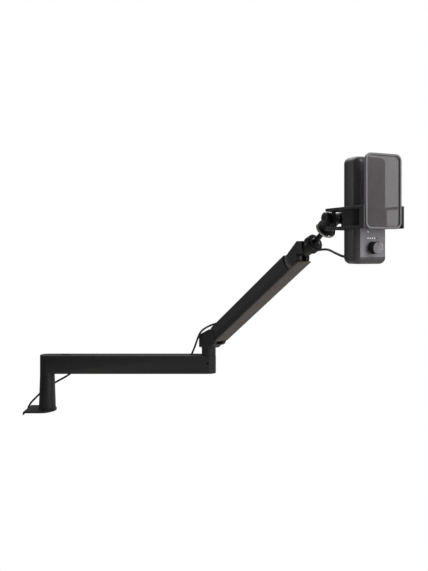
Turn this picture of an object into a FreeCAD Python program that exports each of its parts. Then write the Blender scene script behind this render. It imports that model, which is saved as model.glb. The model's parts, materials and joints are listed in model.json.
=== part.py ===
import FreeCAD, Part
import math
import os
import re

# Microphone boom arm with a desk clamp, two arms, a ball head, a shock mount and a microphone.
# Millimetres. The origin is on the desk top, on the riser's axis. +X runs along the lower arm, +Z is up.

doc = FreeCAD.newDocument("BoomArm")
V = FreeCAD.Vector
X_AXIS, Y_AXIS, Z_AXIS = V(1, 0, 0), V(0, 1, 0), V(0, 0, 1)

# Driving dimensions, kept in the sheet under the same names.
SIZES = {
    # clamp
    "pad_thick": 1.2, "plate_thick": 3.8, "plate_depth": 55.0, "plate_back": 44.0, "plate_nose": 19.0,
    "jaw_opening": 66.0, "jaw_width": 40.0, "screw_x": -4.0, "screw_radius": 5.0, "screw_length": 82.0,
    "tip_depth": 2.0, "nut_radius": 8.0, "nut_flange": 12.0, "nut_lip": 3.0, "nut_length": 11.0,
    "knob_radius": 17.0, "knob_height": 16.0, "grip_depth": 3.0, "grip_count": 8,
    "desk_rest": 30.0, "press_radius": 19.0, "press_thick": 4.0, "press_pad": 2.0,
    "riser_bolt": 2.0, "riser_bolt_head": 3.8, "bolt_head_height": 2.2, "bolt_ring": 11.0,
    "bolt_length": 14.0,
    # riser and lower arm
    "riser_height": 69.0, "riser_foot": 17.5, "riser_top": 15.2, "bush_length": 46.0, "bush_wall": 2.0,
    "washer_thick": 1.0, "washer_margin": 0.6, "edge_round": 1.0, "pin_radius": 8.0, "pin_depth": 44.0,
    "pin_grip": 26.0, "running_gap": 0.05,
    "boss_height": 4.7, "lower_length": 340.0, "lower_width": 30.3, "lower_height": 38.0,
    "lower_wall": 2.5, "lower_solid_end": 19.0,
    "slot_length": 24.0, "slot_width": 11.0, "grommet_wall": 1.6,
    "rear_slot_x": 39.0, "front_slot_x": 308.5, "under_slot_x": 54.0,
    # elbow
    "post_radius": 14.8, "post_height": 15.0, "spindle_radius": 7.0, "spindle_depth": 28.0,
    "spindle_grip": 10.0, "elbow_screw_radius": 3.0, "elbow_screw_head": 5.5, "screw_head_height": 4.0,
    "elbow_screw_length": 14.0, "loose_gap": 0.4, "tension_radius": 2.5, "tension_length": 4.6,
    "tension_up": 22.3, "tension_side": 2.5, "shoulder_rise": 25.3,
    "elbow_turn": 55.8, "hub_reach": 27.0, "hub_rise": 39.3, "hub_radius": 17.0, "knuckle_width": 30.0,
    "fork_slot": 14.0, "fork_room": 13.5, "blind_wall": 2.0, "tilt_pin_radius": 3.5, "link_pin_radius": 1.7,
    "link_offset": 8.2, "link_lean": 35.0,
    # upper arm
    "arm_lift": 33.4, "upper_length": 303.0, "upper_width": 30.5, "upper_height": 31.0, "upper_wall": 2.2,
    "end_gap": 1.6, "cover_thick": 2.4, "cover_inset": 12.6, "cover_lap": 10.0, "rib_height": 4.0,
    "rib_thick": 1.2, "scallop_radius": 22.5,
    "entry_x": 36.0, "entry_length": 30.0, "lead_side": 9.8, "lead_up": 8.0, "lead_room": 5.2,
    "block_start": 23.0, "block_length": 26.0, "block_gap": 0.15, "block_nose": 14.0,
    "tongue_thick": 5.0, "tongue_side": 4.0, "eye_radius": 11.5,
    "link_thick": 4.0, "link_height": 5.0, "link_side": 3.6, "link_eye": 4.0,
    "spring_radius": 5.0, "spring_wire": 1.0, "spring_side": 2.6, "spring_up": 6.0, "hook_room": 4.0,
    "adjuster_reach": 18.0, "spring_start": 66.0, "spring_tail": 10.0, "anchor_length": 10.0,
    "anchor_height": 12.0, "adjuster_radius": 2.5, "spring_pin_radius": 1.6, "spring_pin_back": 3.0,
    "spring_pin_up": 11.0, "cover_screw_radius": 2.0, "cover_screw_head": 3.4, "cover_screw_length": 8.0,
    "cover_head_height": 1.6, "cover_screw_side": 9.0, "cover_screw_pitch": 13.0,
    # head
    "crown_radius": 12.8, "block_shoulder": 12.8, "block_front": 26.0, "block_top": 28.9, "block_low": 7.0,
    "ball_reach": 40.0, "ball_rise": 25.2,
    "barrel_pitch": 26.6, "barrel_radius": 12.5, "barrel_back": 24.0, "barrel_lip": 4.0,
    "ball_radius": 9.0, "socket_gap": 0.08, "collar_wall": 2.6, "collar_length": 13.0, "gland_radius": 4.2,
    "gland_length": 3.0, "gland_x": 20.0, "gland_z": 12.0,
    "stem_radius": 4.5, "stem_pitch": 33.4, "mount_turn": 66.0,
    "flange_at": 39.0, "flange_radius": 17.3, "flange_thick": 6.0, "thread_radius": 7.9,
    "thread_lead": 2.0, "thread_length": 20.0, "pivot_at": 71.0, "boss_length": 15.0, "boss_radius": 11.0,
    "lug_radius": 8.6, "lug_width": 13.4,
    # shock mount
    "frame_depth": 122.0, "frame_half": 36.0, "frame_bar": 3.2, "frame_low": -19.6, "frame_height": 32.5,
    "frame_back": 11.0, "frame_corner": 24.0, "rail_height": 4.0, "tip_length": 10.0, "window_start": 12.0,
    "window_half": 20.0, "ear_gap": 0.3, "ear_thick": 3.5, "ear_radius": 9.0,
    "bolt_radius": 3.0, "tilt_knob_radius": 9.5, "tilt_knob_length": 9.0,
    "band_gap": 0.7, "band_thick": 1.6, "band_height": 31.0, "elastic_radius": 1.8, "elastic_gap": 0.1,
    # microphone
    "mic_setback": 44.7, "mic_width": 58.0, "mic_thick": 37.0, "mic_height": 158.0, "mic_bottom": -71.3,
    "mic_corner": 11.0, "mic_edge": 9.5, "mic_wall": 2.2, "mic_seam": 2.0, "panel_thick": 2.0,
    "panel_height": 54.5, "panel_low": 10.5, "panel_width": 44.0, "grille_thick": 1.4, "grille_height": 76.0,
    "grille_low": 72.0, "dial_radius": 9.0, "dial_height": 12.0, "dial_up": 24.0, "dial_gap": 1.0,
    "shaft_radius": 3.0, "shaft_length": 16.75, "encoder_width": 13.0, "light_radius": 0.9,
    "light_pitch": 4.0, "light_up": 38.0, "light_count": 5, "capsule_radius": 13.0, "capsule_length": 10.0,
    "capsule_up": 112.0, "board_thick": 1.6, "board_height": 132.0, "board_low": 8.0,
    # pop screen
    "pop_width": 63.8, "pop_height": 108.0, "pop_low": -20.6, "pop_thick": 5.0, "pop_rim": 3.2,
    "pop_corner": 10.0, "net_thick": 0.8, "net_hole": 1.9, "net_pitch": 5.6,
    # lead
    "cord_radius": 2.05, "plug_up": 10.2, "plug_width": 12.0, "plug_height": 7.0, "plug_length": 20.0,
    "shell_width": 8.3, "shell_height": 2.5, "shell_length": 6.2,
}
sheet = doc.addObject("Spreadsheet::Sheet", "Sizes")
for row, (alias, value) in enumerate(SIZES.items(), start=1):
    cell = "B%d" % row
    sheet.set("A%d" % row, alias)
    sheet.set(cell, str(value))
    sheet.setAlias(cell, alias)
doc.recompute()


class Sheet:
    """The sheet's values by name."""

    def __getattr__(self, name):
        return float(sheet.get(name))


S = Sheet()
PARTS = {}


def bind(thing, **formulas):
    """Tie properties of an object to formulas of sheet names."""
    for prop, formula in formulas.items():
        thing.setExpression(prop, re.sub(r"\b([a-z][a-z_]+)\b", r"Sizes.\1", formula))
    return thing


def at(x=0.0, y=0.0, z=0.0, yaw=0.0, pitch=0.0, roll=0.0):
    return FreeCAD.Placement(V(x, y, z), FreeCAD.Rotation(yaw, pitch, roll))


def box(name, length, width, height, place):
    """A box that is centred on its placement in Y, and starts there in X and Z."""
    thing = doc.addObject("Part::Box", name)
    bind(thing, Length=length, Width=width, Height=height)
    doc.recompute()
    thing.Placement = place.multiply(at(0, -thing.Width.Value / 2, 0))
    return thing


def rod(name, radius, height, place):
    thing = doc.addObject("Part::Cylinder", name)
    bind(thing, Radius=radius, Height=height)
    thing.Placement = place
    return thing


def cone(name, low, high, height, place):
    thing = doc.addObject("Part::Cone", name)
    bind(thing, Radius1=low, Radius2=high, Height=height)
    thing.Placement = place
    return thing


def ball(name, radius, place):
    thing = doc.addObject("Part::Sphere", name)
    bind(thing, Radius=radius)
    thing.Placement = place
    return thing


def fuse(name, things):
    whole = doc.addObject("Part::MultiFuse", name)
    whole.Shapes = things
    whole.Refine = True
    return whole


def cut(name, base, tools):
    """The base less every tool."""
    tool = tools[0] if len(tools) == 1 else fuse(name + "_tools", tools)
    less = doc.addObject("Part::Cut", name)
    less.Base, less.Tool = base, tool
    return less


def common(name, first, second):
    both = doc.addObject("Part::Common", name)
    both.Base, both.Tool = first, second
    return both


def rounded(name, base, radius, pick):
    """The base with the picked edges rounded."""
    doc.recompute()
    result = doc.addObject("Part::Fillet", name)
    result.Base = base
    result.Edges = [(i, radius, radius) for i, e in enumerate(base.Shape.Edges, start=1) if pick(e)]
    return result


def along(axis, limit=0.999):
    """Picks straight edges that run along an axis."""
    def pick(edge):
        if edge.Curve.TypeId != "Part::GeomLine":
            return False
        return abs(edge.tangentAt(edge.FirstParameter).dot(axis)) > limit
    return pick


def keep(name, thing, place=None):
    """Names a finished piece and puts it where it belongs."""
    thing.Label = name
    if place is not None:
        thing.Placement = place.multiply(thing.Placement)
    PARTS[name] = thing
    return thing


FLAT_Y = FreeCAD.Rotation(X_AXIS, -90)
FLAT_X = FreeCAD.Rotation(Y_AXIS, 90)


def along_y(x, y, z):
    """A rod placed here runs along +Y."""
    return FreeCAD.Placement(V(x, y, z), FLAT_Y)


def along_x(x, y, z):
    """A rod placed here runs along +X."""
    return FreeCAD.Placement(V(x, y, z), FLAT_X)


# Clamp frame: one bent steel strip, with the riser on its top plate and the screw in its lower jaw.
plate_top = S.pad_thick + S.plate_thick
nose_x = S.plate_nose - S.plate_depth / 2
jaw_floor = -S.jaw_opening - S.plate_thick
spots = [(S.bolt_ring * math.cos(a), S.bolt_ring * math.sin(a)) for a in (math.pi, math.pi / 3, -math.pi / 3)]


def strip(name, inset, thick, low, place_x):
    """A flat with a half-round nose, as wide as the top plate less an inset all round."""
    length = "plate_back + plate_nose - plate_depth/2" + inset
    flat = box(name + "_flat", length, "plate_depth" + inset * 2, thick, at(place_x, 0, low))
    nose = rod(name + "_nose", "plate_depth/2" + inset, thick, at(nose_x, 0, low))
    return [flat, nose]


spine = box("spine", "plate_thick", "plate_depth", "jaw_opening + plate_thick*2 + pad_thick",
            at(-S.plate_back, 0, jaw_floor))
jaw = box("jaw", "plate_back + screw_x", "jaw_width", "plate_thick", at(-S.plate_back, 0, jaw_floor))
jaw_nose = rod("jaw_nose", "jaw_width/2", "plate_thick", at(S.screw_x, 0, jaw_floor))
top_strip = strip("top", "", "plate_thick", S.pad_thick, -S.plate_back)
bent = fuse("bent_strip", top_strip + [spine, jaw, jaw_nose])


def outer_bend(edge):
    ends = [v.Point for v in edge.Vertexes]
    across = along(Y_AXIS)(edge)
    at_back = all(abs(p.x + S.plate_back) < 0.01 for p in ends)
    return across and at_back


bent = rounded("bent_round", bent, S.plate_thick * 0.9, outer_bend)
frame_holes = [rod("nut_hole", "nut_radius", "plate_thick", at(S.screw_x, 0, jaw_floor))]
for i, (x, y) in enumerate(spots):
    frame_holes.append(rod("plate_hole%d" % i, "riser_bolt", "plate_thick", at(x, y, S.pad_thick)))
    frame_holes.append(rod("plate_sink%d" % i, "riser_bolt_head", "bolt_head_height", at(x, y, S.pad_thick)))
keep("clamp_frame", cut("clamp_cut", bent, frame_holes))
pad_inset = " - plate_thick"
keep("desk_pad", fuse("desk_pad", strip("pad", pad_inset, "pad_thick", 0, S.plate_thick - S.plate_back)))

riser_bolts = []
for i, (x, y) in enumerate(spots):
    head = rod("riser_head%d" % i, "riser_bolt_head", "bolt_head_height", at(x, y, S.pad_thick))
    shank = rod("riser_shank%d" % i, "riser_bolt", "bolt_length", at(x, y, S.pad_thick))
    riser_bolts.append(fuse("riser_bolt%d" % i, [head, shank]))
keep("riser_screws", fuse("riser_bolts", riser_bolts))

# Riser: a tapered post with a plastic bush, in which the lower arm's pin turns.
riser_end = plate_top + S.riser_height
post = cone("riser_post", "riser_foot", "riser_top", "riser_height", at(0, 0, plate_top))
bores = [rod("riser_bore", "pin_radius + bush_wall", "bush_length", at(0, 0, riser_end - S.bush_length))]
for i, (x, y) in enumerate(spots):
    bores.append(rod("riser_tap%d" % i, "riser_bolt", "bolt_length - plate_thick", at(x, y, plate_top)))
keep("riser", cut("riser_cut", post, bores))


def flanged_bush(name, shaft, depth, rim, place):
    """A plastic bush below a thrust flange, for a shaft of the given radius."""
    sleeve = rod(name + "_sleeve", shaft + " + bush_wall", depth, place)
    sleeve.Placement.Base.z -= float(sheet.get(depth))
    flange = rod(name + "_flange", rim + " - washer_margin", "washer_thick", place)
    bore = rod(name + "_bore", shaft + " + running_gap", depth + " + washer_thick", sleeve.Placement)
    return cut(name, fuse(name + "_solid", [sleeve, flange]), [bore])


keep("riser_bush", flanged_bush("riser_bush", "pin_radius", "bush_length", "riser_top", at(0, 0, riser_end)))

# Clamp screw: it turns in the jaw's nut and lifts the pressure plate against the desk's underside.
nut_body = rod("nut_body", "nut_radius", "nut_length", at(S.screw_x, 0, -S.jaw_opening - S.nut_length))
nut_lip = rod("nut_rim", "nut_flange", "nut_lip", at(S.screw_x, 0, -S.jaw_opening))
nut_bore = rod("nut_bore", "screw_radius + running_gap", "nut_length + nut_lip",
               at(S.screw_x, 0, -S.jaw_opening - S.nut_length))
keep("clamp_nut", cut("clamp_nut", fuse("nut_solid", [nut_body, nut_lip]), [nut_bore]))
press_low = -S.desk_rest - S.press_pad - S.press_thick
press = rod("press_disc", "press_radius", "press_thick", at(S.screw_x, 0, press_low))
press_socket = rod("press_socket", "screw_radius + running_gap", "tip_depth", at(S.screw_x, 0, press_low))
keep("pressure_plate", cut("pressure_plate", press, [press_socket]))
keep("pressure_pad", rod("pressure_pad", "press_radius - washer_margin", "press_pad",
                         at(S.screw_x, 0, -S.desk_rest - S.press_pad)))
screw_low = press_low + S.tip_depth - S.running_gap - S.screw_length
keep("clamp_screw", rod("clamp_screw", "screw_radius", "screw_length", at(S.screw_x, 0, screw_low)))
knob = rod("knob_disc", "knob_radius", "knob_height", at(S.screw_x, 0, screw_low))
knob_cuts = [rod("knob_bore", "screw_radius", "knob_height", at(S.screw_x, 0, screw_low))]
for i in range(int(S.grip_count)):
    turn = 2 * math.pi * i / S.grip_count
    reach = S.knob_radius + S.grip_depth / 2
    spot = at(S.screw_x + reach * math.cos(turn), reach * math.sin(turn), screw_low)
    knob_cuts.append(rod("knob_grip%d" % i, "grip_depth", "knob_height", spot))
keep("clamp_knob", cut("clamp_knob", knob, knob_cuts))

# Lower arm: a long box beam with round ends, hollow between its two solid ends.
boss_low = riser_end + S.washer_thick
beam_low = boss_low + S.boss_height
beam_high = beam_low + S.lower_height
bar = [
    box("beam_box", "lower_length", "lower_width", "lower_height", at(0, 0, beam_low)),
    rod("beam_rear", "lower_width/2", "lower_height", at(0, 0, beam_low)),
    rod("beam_front", "lower_width/2", "lower_height", at(S.lower_length, 0, beam_low)),
]


def on_level(*levels):
    """Picks the edges that lie flat on one of the given heights."""
    def pick(edge):
        box_of = edge.BoundBox
        return any(abs(box_of.ZMin - z) < 0.01 and abs(box_of.ZMax - z) < 0.01 for z in levels)
    return pick


bar = rounded("beam_soft", fuse("beam_outside", bar), S.edge_round, on_level(beam_high, beam_low))
bar_boss = rod("beam_boss", "riser_top", "boss_height + edge_round*2", at(0, 0, boss_low))


def slot(name, width, height, x, z):
    """A slot along X with round ends, centred at x."""
    run = S.slot_length - S.slot_width
    middle = box(name + "_mid", "slot_length - slot_width", width, height, at(x - run / 2, 0, z))
    ends = [rod(name + "_end%d" % i, "(%s)/2" % width, height, at(x + side * run / 2, 0, z))
            for i, side in enumerate((-1, 1))]
    return fuse(name, [middle] + ends)


top_wall = beam_high - S.lower_wall
openings = {"rear": (S.rear_slot_x, top_wall), "front": (S.front_slot_x, top_wall),
            "under": (S.under_slot_x, beam_low)}
beam_cuts = [
    box("beam_hollow", "lower_length - lower_solid_end*2", "lower_width - lower_wall*2",
        "lower_height - lower_wall*2", at(S.lower_solid_end, 0, beam_low + S.lower_wall)),
    rod("beam_pin_hole", "pin_radius", "boss_height + pin_grip", at(0, 0, boss_low)),
    rod("beam_bush_hole", "spindle_radius + bush_wall", "spindle_depth",
        at(S.lower_length, 0, beam_high - S.spindle_depth)),
    rod("beam_screw_hole", "elbow_screw_radius + loose_gap", "lower_height", at(S.lower_length, 0, beam_low)),
    rod("beam_head_room", "elbow_screw_head + loose_gap", "screw_head_height*2",
        at(S.lower_length, 0, beam_low)),
    rod("beam_tension", "tension_radius", "lower_width/2 - spindle_radius",
        along_y(S.lower_length - S.tension_side, -S.lower_width / 2, beam_low + S.tension_up)),
]
grommets = []
for name, (x, z) in openings.items():
    beam_cuts.append(slot("slot_" + name, "slot_width", "lower_wall", x, z))
    sleeve = slot("sleeve_" + name, "slot_width", "lower_wall", x, z)
    hole = slot("sleeve_hole_" + name, "slot_width - grommet_wall*2", "lower_wall", x, z)
    grommets.append(cut("grommet_" + name, sleeve, [hole]))
keep("lower_arm", cut("lower_arm", fuse("beam_solid", [bar, bar_boss]), beam_cuts))
keep("cable_grommets", fuse("cable_grommets", grommets))
keep("swivel_pin", rod("swivel_pin", "pin_radius", "pin_depth + washer_thick + boss_height + pin_grip",
                       at(0, 0, riser_end - S.pin_depth)))
keep("elbow_bush", flanged_bush("elbow_bush", "spindle_radius", "spindle_depth", "post_radius",
                                at(S.lower_length, 0, beam_high)))
keep("tension_screw", rod("tension_screw", "tension_radius", "tension_length",
                          along_y(S.lower_length - S.tension_side,
                                  -S.spindle_radius - S.bush_wall - S.loose_gap - S.tension_length,
                                  beam_low + S.tension_up)))


# Elbow: an upright post on a spindle. Its forked head holds the upper arm's tongue on a cross pin.
elbow_low = beam_high + S.washer_thick
elbow = at(S.lower_length, 0, elbow_low, -S.elbow_turn)


def plate_of(name, points, width):
    """A flat plate, centred on Y, of an outline given in X and Z."""
    outline = doc.addObject("Part::Polygon", name + "_outline")
    outline.Nodes = [V(x, 0, z) for x, z in points]
    outline.Close = True
    plate = doc.addObject("Part::Extrusion", name)
    plate.Base = outline
    plate.DirMode = "Custom"
    plate.Dir = Y_AXIS
    plate.Solid = True
    plate.Symmetric = True
    bind(plate, LengthFwd=width)
    return plate


def tangent_from(point, centre, radius, side):
    """Where a line from the point touches the circle, on its left (1) or right (-1)."""
    dx, dz = centre[0] - point[0], centre[1] - point[1]
    far = math.hypot(dx, dz)
    turn = math.atan2(dz, dx) + side * math.asin(radius / far)
    run = math.sqrt(far * far - radius * radius)
    return point[0] + run * math.cos(turn), point[1] + run * math.sin(turn)


hub = (S.hub_reach, S.hub_rise)
lean = math.radians(S.link_lean)
link_shift = (S.link_offset * math.sin(lean), -S.link_offset * math.cos(lean))
link_foot = (hub[0] + link_shift[0], hub[1] + link_shift[1])
back_top = (-S.post_radius, S.post_height + S.shoulder_rise)
neck = [(-S.post_radius, S.post_height), back_top, tangent_from(back_top, hub, S.hub_radius, 1), hub,
        (hub[0], hub[1] - S.hub_radius), (S.post_radius, S.post_height)]
knuckle = [
    rod("elbow_post", "post_radius", "post_height", at()),
    plate_of("elbow_neck", neck, "knuckle_width"),
    rod("elbow_hub", "hub_radius", "knuckle_width", along_y(hub[0], -S.knuckle_width / 2, hub[1])),
]
spring_pin_at = (hub[0] - S.spring_pin_back, hub[1] + S.spring_pin_up)


def cross_pin(name, radius, start, length, spot):
    """A pin across the fork, from a start in Y."""
    return rod(name, radius, length, along_y(spot[0], start, spot[1]))


far_length = "knuckle_width/2 - blind_wall"
pin_start = S.blind_wall - S.knuckle_width / 2
elbow_cuts = [
    box("elbow_fork", "fork_room*4", "fork_slot", "fork_room*4",
        at(hub[0] - S.fork_room, 0, hub[1] - S.fork_room)),
    cross_pin("elbow_pin_hole", "tilt_pin_radius", pin_start, "knuckle_width - blind_wall*2", hub),
    cross_pin("elbow_link_hole", "link_pin_radius", 0, far_length, link_foot),
    cross_pin("elbow_spring_hole", "spring_pin_radius", 0, far_length, spring_pin_at),
    rod("elbow_spindle_hole", "spindle_radius", "spindle_grip", at()),
]
keep("elbow_knuckle", cut("elbow_knuckle", fuse("elbow_solid", knuckle), elbow_cuts), elbow)
spindle = rod("spindle_rod", "spindle_radius", "spindle_depth + washer_thick + spindle_grip - loose_gap",
              at(0, 0, S.loose_gap - S.spindle_depth - S.washer_thick))
spindle_tap = rod("spindle_tap", "elbow_screw_radius", "elbow_screw_length",
                  at(0, 0, S.loose_gap - S.spindle_depth - S.washer_thick))
keep("elbow_spindle", cut("elbow_spindle", spindle, [spindle_tap]), elbow)
shank_low = S.screw_head_height * 2 - S.loose_gap - S.lower_height - S.washer_thick
screw_shank = doc.addObject("Part::Cylinder", "elbow_shank")
bind(screw_shank, Radius="elbow_screw_radius",
     Height="lower_height - spindle_depth - screw_head_height*2 + loose_gap + elbow_screw_length")
screw_shank.Placement = at(0, 0, shank_low)
screw_head = rod("elbow_head", "elbow_screw_head", "screw_head_height",
                 at(0, 0, shank_low - S.screw_head_height))
keep("spindle_screw", fuse("spindle_screw", [screw_shank, screw_head]), elbow)
tilt_length = "knuckle_width - blind_wall*2"
link_length = far_length + " - link_side + link_thick"
link_start = S.link_side - S.link_thick
keep("elbow_pins", fuse("elbow_pins", [
    cross_pin("tilt_pin_lower", "tilt_pin_radius", pin_start, tilt_length, hub),
    cross_pin("link_pin_lower", "link_pin_radius", link_start, link_length, link_foot),
    cross_pin("spring_pin", "spring_pin_radius", 0, far_length, spring_pin_at),
]), elbow)

# Upper arm: an upturned channel between two round hollows, closed below by a cable cover.
lift = math.radians(S.arm_lift)
upper = elbow.multiply(at(hub[0], 0, hub[1], 0, -S.arm_lift))
arm_high = S.upper_height / 2
wall_low = S.cover_thick - arm_high
inner_half = S.upper_width / 2 - S.upper_wall
channel = box("channel_box", "upper_length", "upper_width", "upper_height - cover_thick", at(0, 0, wall_low))
channel = rounded("channel_soft", channel, S.edge_round, along(X_AXIS))
lead_span = at(S.entry_x - S.entry_length / 2, S.lead_side, arm_high - S.upper_wall * 1.5)
channel_cuts = [
    box("channel_hollow", "upper_length", "upper_width - upper_wall*2",
        "upper_height - cover_thick - upper_wall", at(0, 0, wall_low)),
    rod("channel_foot", "hub_radius + end_gap", "upper_width", along_y(0, -S.upper_width / 2, 0)),
    rod("channel_head", "scallop_radius", "upper_width", along_y(S.upper_length, -S.upper_width / 2, 0)),
    box("channel_entry", "entry_length", "lead_room*1.2", "upper_wall*2", lead_span),
]
screw_spots = []
for first in (S.block_start + (S.block_length - S.cover_screw_pitch) / 2,
              S.upper_length - S.block_start - (S.block_length + S.cover_screw_pitch) / 2):
    screw_spots += [first, first + S.cover_screw_pitch]
screw_top = arm_high
arm_screws = []
for i, x in enumerate(screw_spots):
    head = rod("arm_head%d" % i, "cover_screw_head", "cover_head_height",
               at(x, -S.cover_screw_side, screw_top - S.cover_head_height))
    stem = rod("arm_stem%d" % i, "cover_screw_radius", "cover_screw_length",
               at(x, -S.cover_screw_side, screw_top - S.cover_screw_length))
    arm_screws.append(fuse("arm_screw%d" % i, [head, stem]))
    channel_cuts.append(rod("arm_sink%d" % i, "cover_screw_head", "cover_head_height",
                            at(x, -S.cover_screw_side, screw_top - S.cover_head_height)))
    channel_cuts.append(rod("arm_tap%d" % i, "cover_screw_radius", "upper_wall",
                            at(x, -S.cover_screw_side, screw_top - S.upper_wall)))
keep("upper_arm", cut("upper_arm", channel, channel_cuts), upper)

cover = box("cover_plate", "upper_length - cover_inset + cover_lap", "upper_width", "cover_thick",
            at(S.cover_inset, 0, -arm_high))
cover = rounded("cover_soft", cover, S.edge_round,
                lambda e: along(X_AXIS)(e) and e.BoundBox.ZMax < wall_low - 1)
rib_side = inner_half - S.block_gap - S.rib_thick / 2
ribs = [box("cover_rib%d" % i, "upper_length - (block_start + block_length)*2 - rib_height", "rib_thick",
            "rib_height + cover_thick/2",
            at(S.block_start + S.block_length + S.rib_height / 2, side * rib_side,
               wall_low - S.cover_thick / 2))
        for i, side in enumerate((-1, 1))]
keep("cable_cover", fuse("cable_cover", [cover] + ribs), upper)


def end_block(name, start, length, eye_x, passages):
    """The block in one end of the channel, with the tongue that reaches the cross pin at eye_x."""
    middle = start + S.block_length / 2
    body = box(name + "_body", length, "upper_width - upper_wall*2 - block_gap*2",
               "upper_height - cover_thick - upper_wall - block_gap*2", at(start, 0, wall_low + S.block_gap))
    tongue = box(name + "_tongue", "block_start + block_length/2", "tongue_thick", "eye_radius*2",
                 at(min(middle, eye_x), -S.tongue_side, -S.eye_radius))
    eye = rod(name + "_eye", "eye_radius", "tongue_thick",
              along_y(eye_x, -S.tongue_side - S.tongue_thick / 2, 0))
    bore = rod(name + "_bore", "tilt_pin_radius + running_gap", "tongue_thick",
               along_y(eye_x, -S.tongue_side - S.tongue_thick / 2, 0))
    link_way = box(name + "_link_way", length, "link_thick + loose_gap*3", "link_offset*1.25",
                   at(start, S.link_side, wall_low))
    lead_way = box(name + "_lead_way", length, "lead_room*2", "lead_room*2",
                   at(start, S.lead_side + S.lead_room / 2, S.lead_up - S.lead_room))
    taps = [rod(name + "_tap%d" % i, "cover_screw_radius", "cover_screw_length",
                at(x, -S.cover_screw_side, screw_top - S.cover_screw_length))
            for i, x in enumerate(screw_spots) if start < x < start + S.block_length]
    body = cut(name + "_ways", body, [link_way, lead_way] + passages)
    return cut(name, fuse(name + "_solid", [body, tongue, eye]), [bore] + taps)


hook_way = box("hook_way", "block_length", "hook_room", "upper_height/2 - upper_wall*2",
               at(S.block_start, S.spring_side, S.upper_wall))
keep("lower_end_block", end_block("lower_block", S.block_start, "block_length", 0, [hook_way]), upper)
upper_start = S.upper_length - S.block_start - S.block_length
adjuster_end = upper_start + S.spring_tail / 2
anchor_x = upper_start - S.adjuster_reach - S.anchor_length
COIL = ("(upper_length - block_start - block_length - adjuster_reach - anchor_length"
        " - spring_tail - spring_start)")
adjuster_hole = rod("adjuster_hole", "adjuster_radius", "spring_tail/2",
                    along_x(upper_start, S.spring_side, S.spring_up))
nose_round = rod("nose_round", "crown_radius + end_gap/2", "upper_width",
                 along_y(S.upper_length, -S.upper_width / 2, 0))
keep("upper_end_block", end_block("upper_block", upper_start, "block_length + block_nose", S.upper_length,
                                  [adjuster_hole, nose_round]), upper)

# Balance spring: a close-wound tension spring from the elbow's pin to the adjustable anchor.
def between(start, end):
    """Placement of a rod that runs from one point to another."""
    return FreeCAD.Placement(start, FreeCAD.Rotation(Z_AXIS, end - start))


back = -lift
pin_in_arm = V((-S.spring_pin_back) * math.cos(back) - S.spring_pin_up * math.sin(back), S.spring_side,
               (-S.spring_pin_back) * math.sin(back) + S.spring_pin_up * math.cos(back))
spring_foot = V(S.spring_start, S.spring_side, S.spring_up)
eye_ring = S.spring_pin_radius + S.spring_wire + S.loose_gap
hook_dir = (spring_foot - pin_in_arm).normalize()
hook_start = pin_in_arm + hook_dir * eye_ring
hook = rod("spring_hook", "spring_wire", "spring_wire", between(hook_start, spring_foot))
hook.setExpression("Height", "%.6f" % ((spring_foot - hook_start).Length + S.spring_wire))
hook_eye = doc.addObject("Part::Torus", "spring_eye")
bind(hook_eye, Radius1="spring_pin_radius + spring_wire + loose_gap", Radius2="spring_wire")
hook_eye.Placement = FreeCAD.Placement(pin_in_arm, FLAT_Y)
coil_body = rod("spring_body", "spring_radius", COIL, along_x(S.spring_start, S.spring_side, S.spring_up))
coil_core = rod("spring_core", "spring_radius - spring_wire*1.5", COIL + " - spring_wire*4",
                along_x(S.spring_start + S.spring_wire * 2, S.spring_side, S.spring_up))
tail_wire = rod("spring_tail", "spring_wire", "spring_tail",
                along_x(anchor_x - S.spring_tail, S.spring_side, S.spring_up))
keep("balance_spring", cut("balance_spring", fuse("spring_solid", [coil_body, hook, hook_eye, tail_wire]),
                           [coil_core]), upper)
anchor = box("anchor_box", "anchor_length", "upper_width - upper_wall*2 - block_gap*2", "anchor_height",
             at(anchor_x, 0, S.upper_height / 2 - S.upper_wall - S.block_gap - S.anchor_height))
anchor_lead = box("anchor_lead", "anchor_length", "lead_room*2", "lead_room*2",
                  at(anchor_x, S.lead_side + S.lead_room / 2, S.lead_up - S.lead_room))
anchor_tap = rod("anchor_tap", "adjuster_radius", "anchor_length/2",
                 along_x(anchor_x + S.anchor_length / 2, S.spring_side, S.spring_up))
keep("spring_anchor", cut("spring_anchor", anchor, [anchor_lead, anchor_tap]), upper)
adjuster = rod("adjuster", "adjuster_radius", "adjuster_radius",
               along_x(anchor_x + S.anchor_length / 2, S.spring_side, S.spring_up))
adjuster.setExpression("Height", "%.6f" % (adjuster_end - anchor_x - S.anchor_length / 2))
keep("arm_screws", fuse("arm_screws", arm_screws + [adjuster]), upper)

# Levelling link: a flat bar beside the tongues that keeps the head upright.
link_place = elbow.multiply(at(link_foot[0], 0, link_foot[1], 0, -S.arm_lift))
link = [box("link_bar", "upper_length", "link_thick", "link_height", at(0, S.link_side, -S.link_height / 2))]
link_holes = []
for i, x in enumerate((0, S.upper_length)):
    link.append(rod("link_end%d" % i, "link_eye", "link_thick",
                    along_y(x, S.link_side - S.link_thick / 2, 0)))
    link_holes.append(rod("link_bore%d" % i, "link_pin_radius + running_gap", "link_thick",
                          along_y(x, S.link_side - S.link_thick / 2, 0)))
keep("level_link", cut("level_link", fuse("link_solid", link), link_holes), link_place)

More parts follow.
